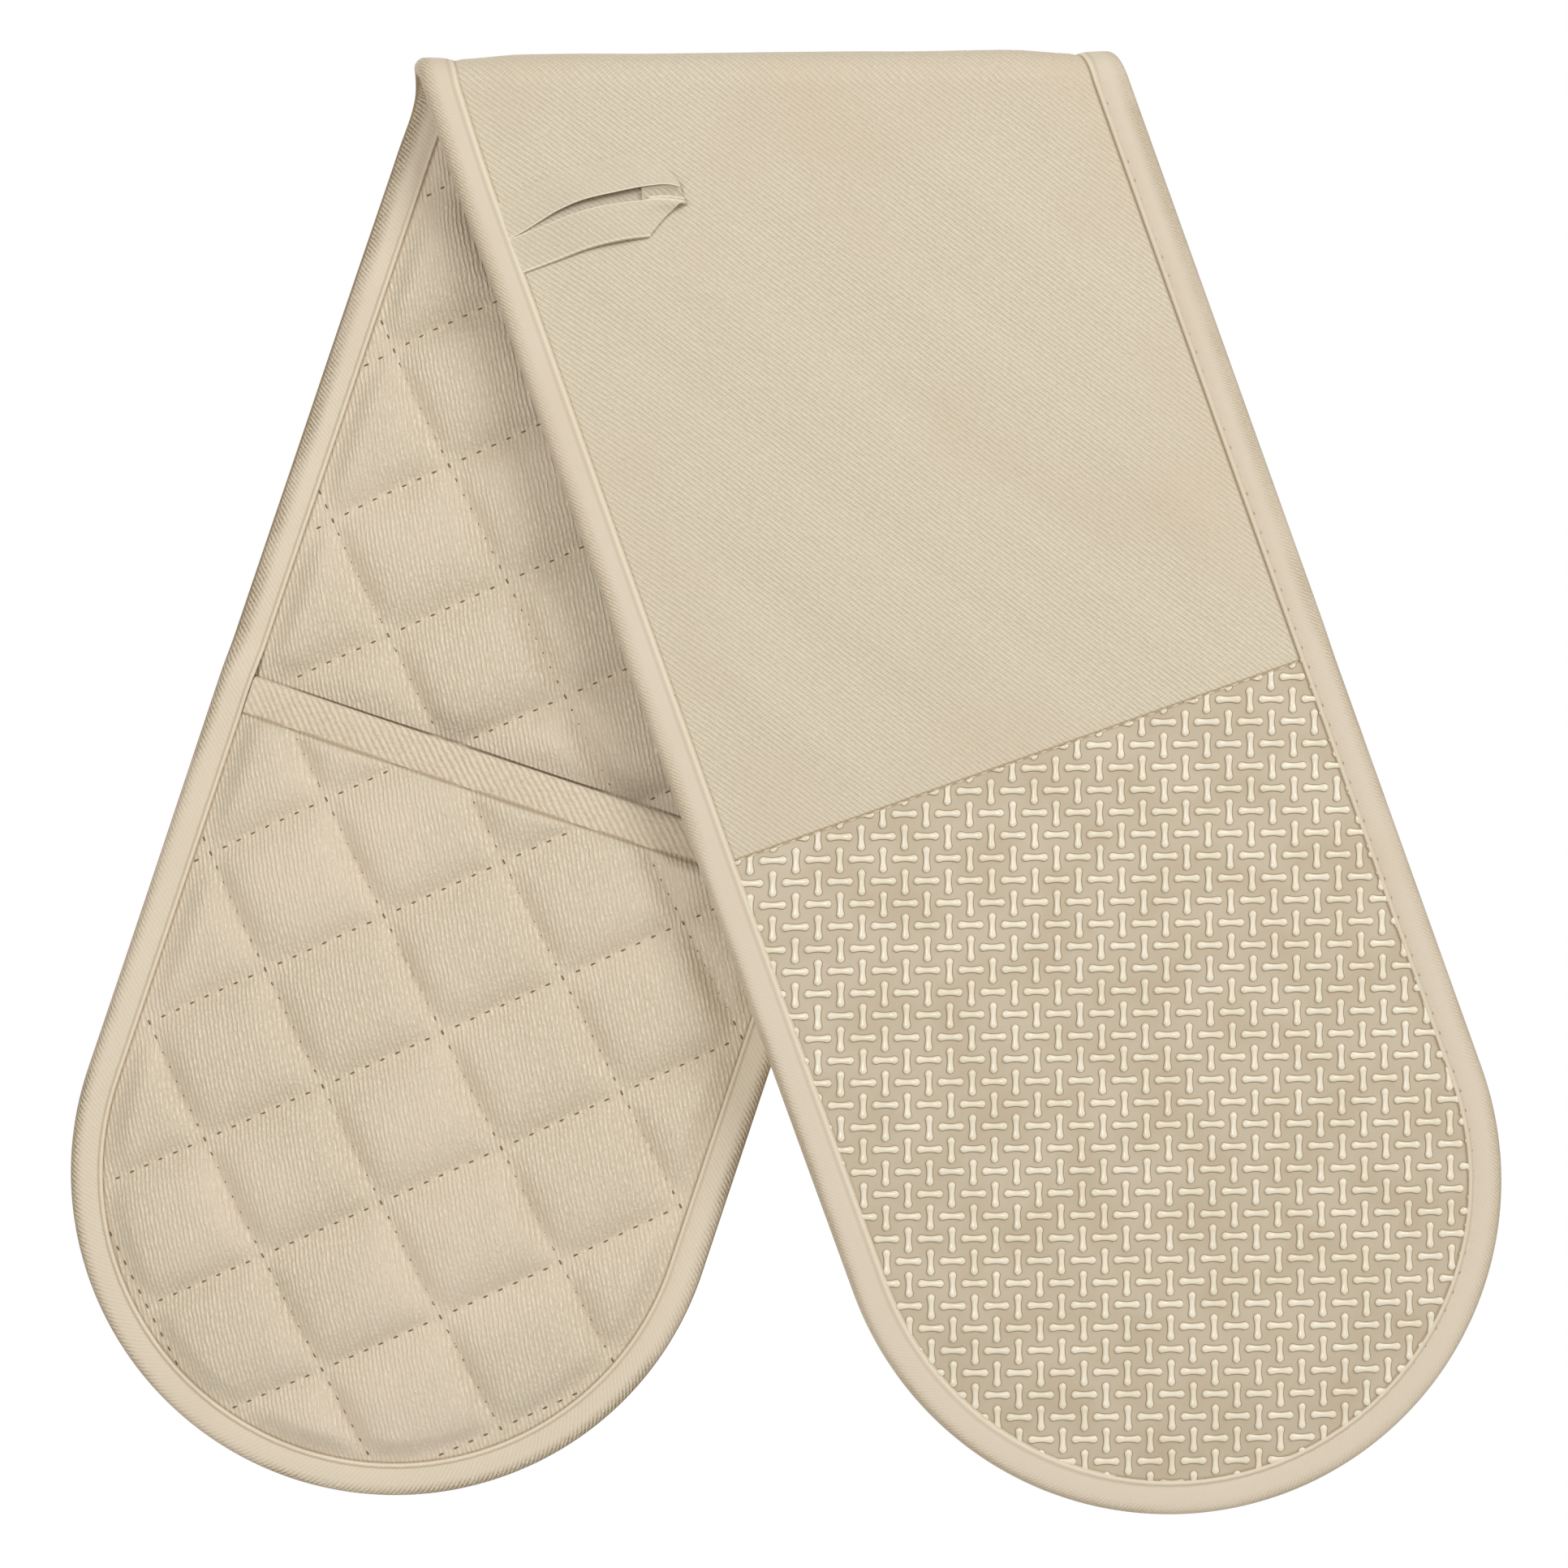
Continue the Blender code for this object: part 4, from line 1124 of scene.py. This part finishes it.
def make_world():
    """Even light from all round, which the camera, mirrors and glass see as plain white."""
    world = bpy.data.worlds.new("studio")
    bpy.context.scene.world = world
    world.use_nodes = True
    tree = world.node_tree
    tree.nodes.clear()
    path = add_node(tree, "LightPath")
    seen = value_of(tree, "MAXIMUM", path.outputs["Is Camera Ray"], path.outputs["Is Glossy Ray"])
    seen = value_of(tree, "MAXIMUM", seen, path.outputs["Is Transmission Ray"])
    lit = add_node(tree, "Background", {"Color": WORLD_COLOUR, "Strength": WORLD_LEVEL})
    white = add_node(tree, "Background", {"Color": (1.0, 1.0, 1.0, 1.0), "Strength": 1.0})
    mix = add_node(tree, "MixShader", {0: seen, 1: lit.outputs[0], 2: white.outputs[0]})
    out = add_node(tree, "OutputWorld")
    tree.links.new(mix.outputs[0], out.inputs[0])


def make_floor():
    bm = bmesh.new()
    bmesh.ops.create_circle(bm, cap_ends=True, segments=96, radius=FLOOR_RADIUS)
    mesh = bpy.data.meshes.new("floor")
    bm.to_mesh(mesh)
    bm.free()
    material = new_material("floor", 0.8)[0]
    material.node_tree.nodes["Principled BSDF"].inputs["Base Color"].default_value = FLOOR_COLOUR
    mesh.materials.append(material)
    floor = add_object("floor", mesh)
    floor.location = (0, 0, -FLOOR_DOWN)


def make_camera():
    camera = bpy.data.cameras.new("camera")
    camera.lens = CAMERA_LENS
    camera.sensor_width = 36.0
    camera.clip_start = 0.01
    pitch, yaw, roll = CAMERA_TURN
    camera_object = add_object("camera", camera)
    turned = Matrix.Rotation(yaw, 4, "Z") @ Matrix.Rotation(pitch, 4, "X") @ Matrix.Rotation(roll, 4, "Z")
    camera_object.matrix_world = Matrix.Translation(CAMERA_AT) @ turned
    bpy.context.scene.camera = camera_object


make_camera()
for arm in ("front", "back"):
    make_twill(arm)
    make_quilting(arm)
    make_tapes(arm)
    make_silicone(arm)
    make_arm_stitches(arm)
    make_groove_stitches(arm)
make_hem_threads()
make_loop()

make_world()
for side in (1, -1):
    for name, ((x, y, z), size, power, colour) in LAMPS.items():
        make_lamp(name, (side * x, side * y, z), size, power, colour)
make_floor()
bpy.context.scene.view_settings.view_transform = "Standard"
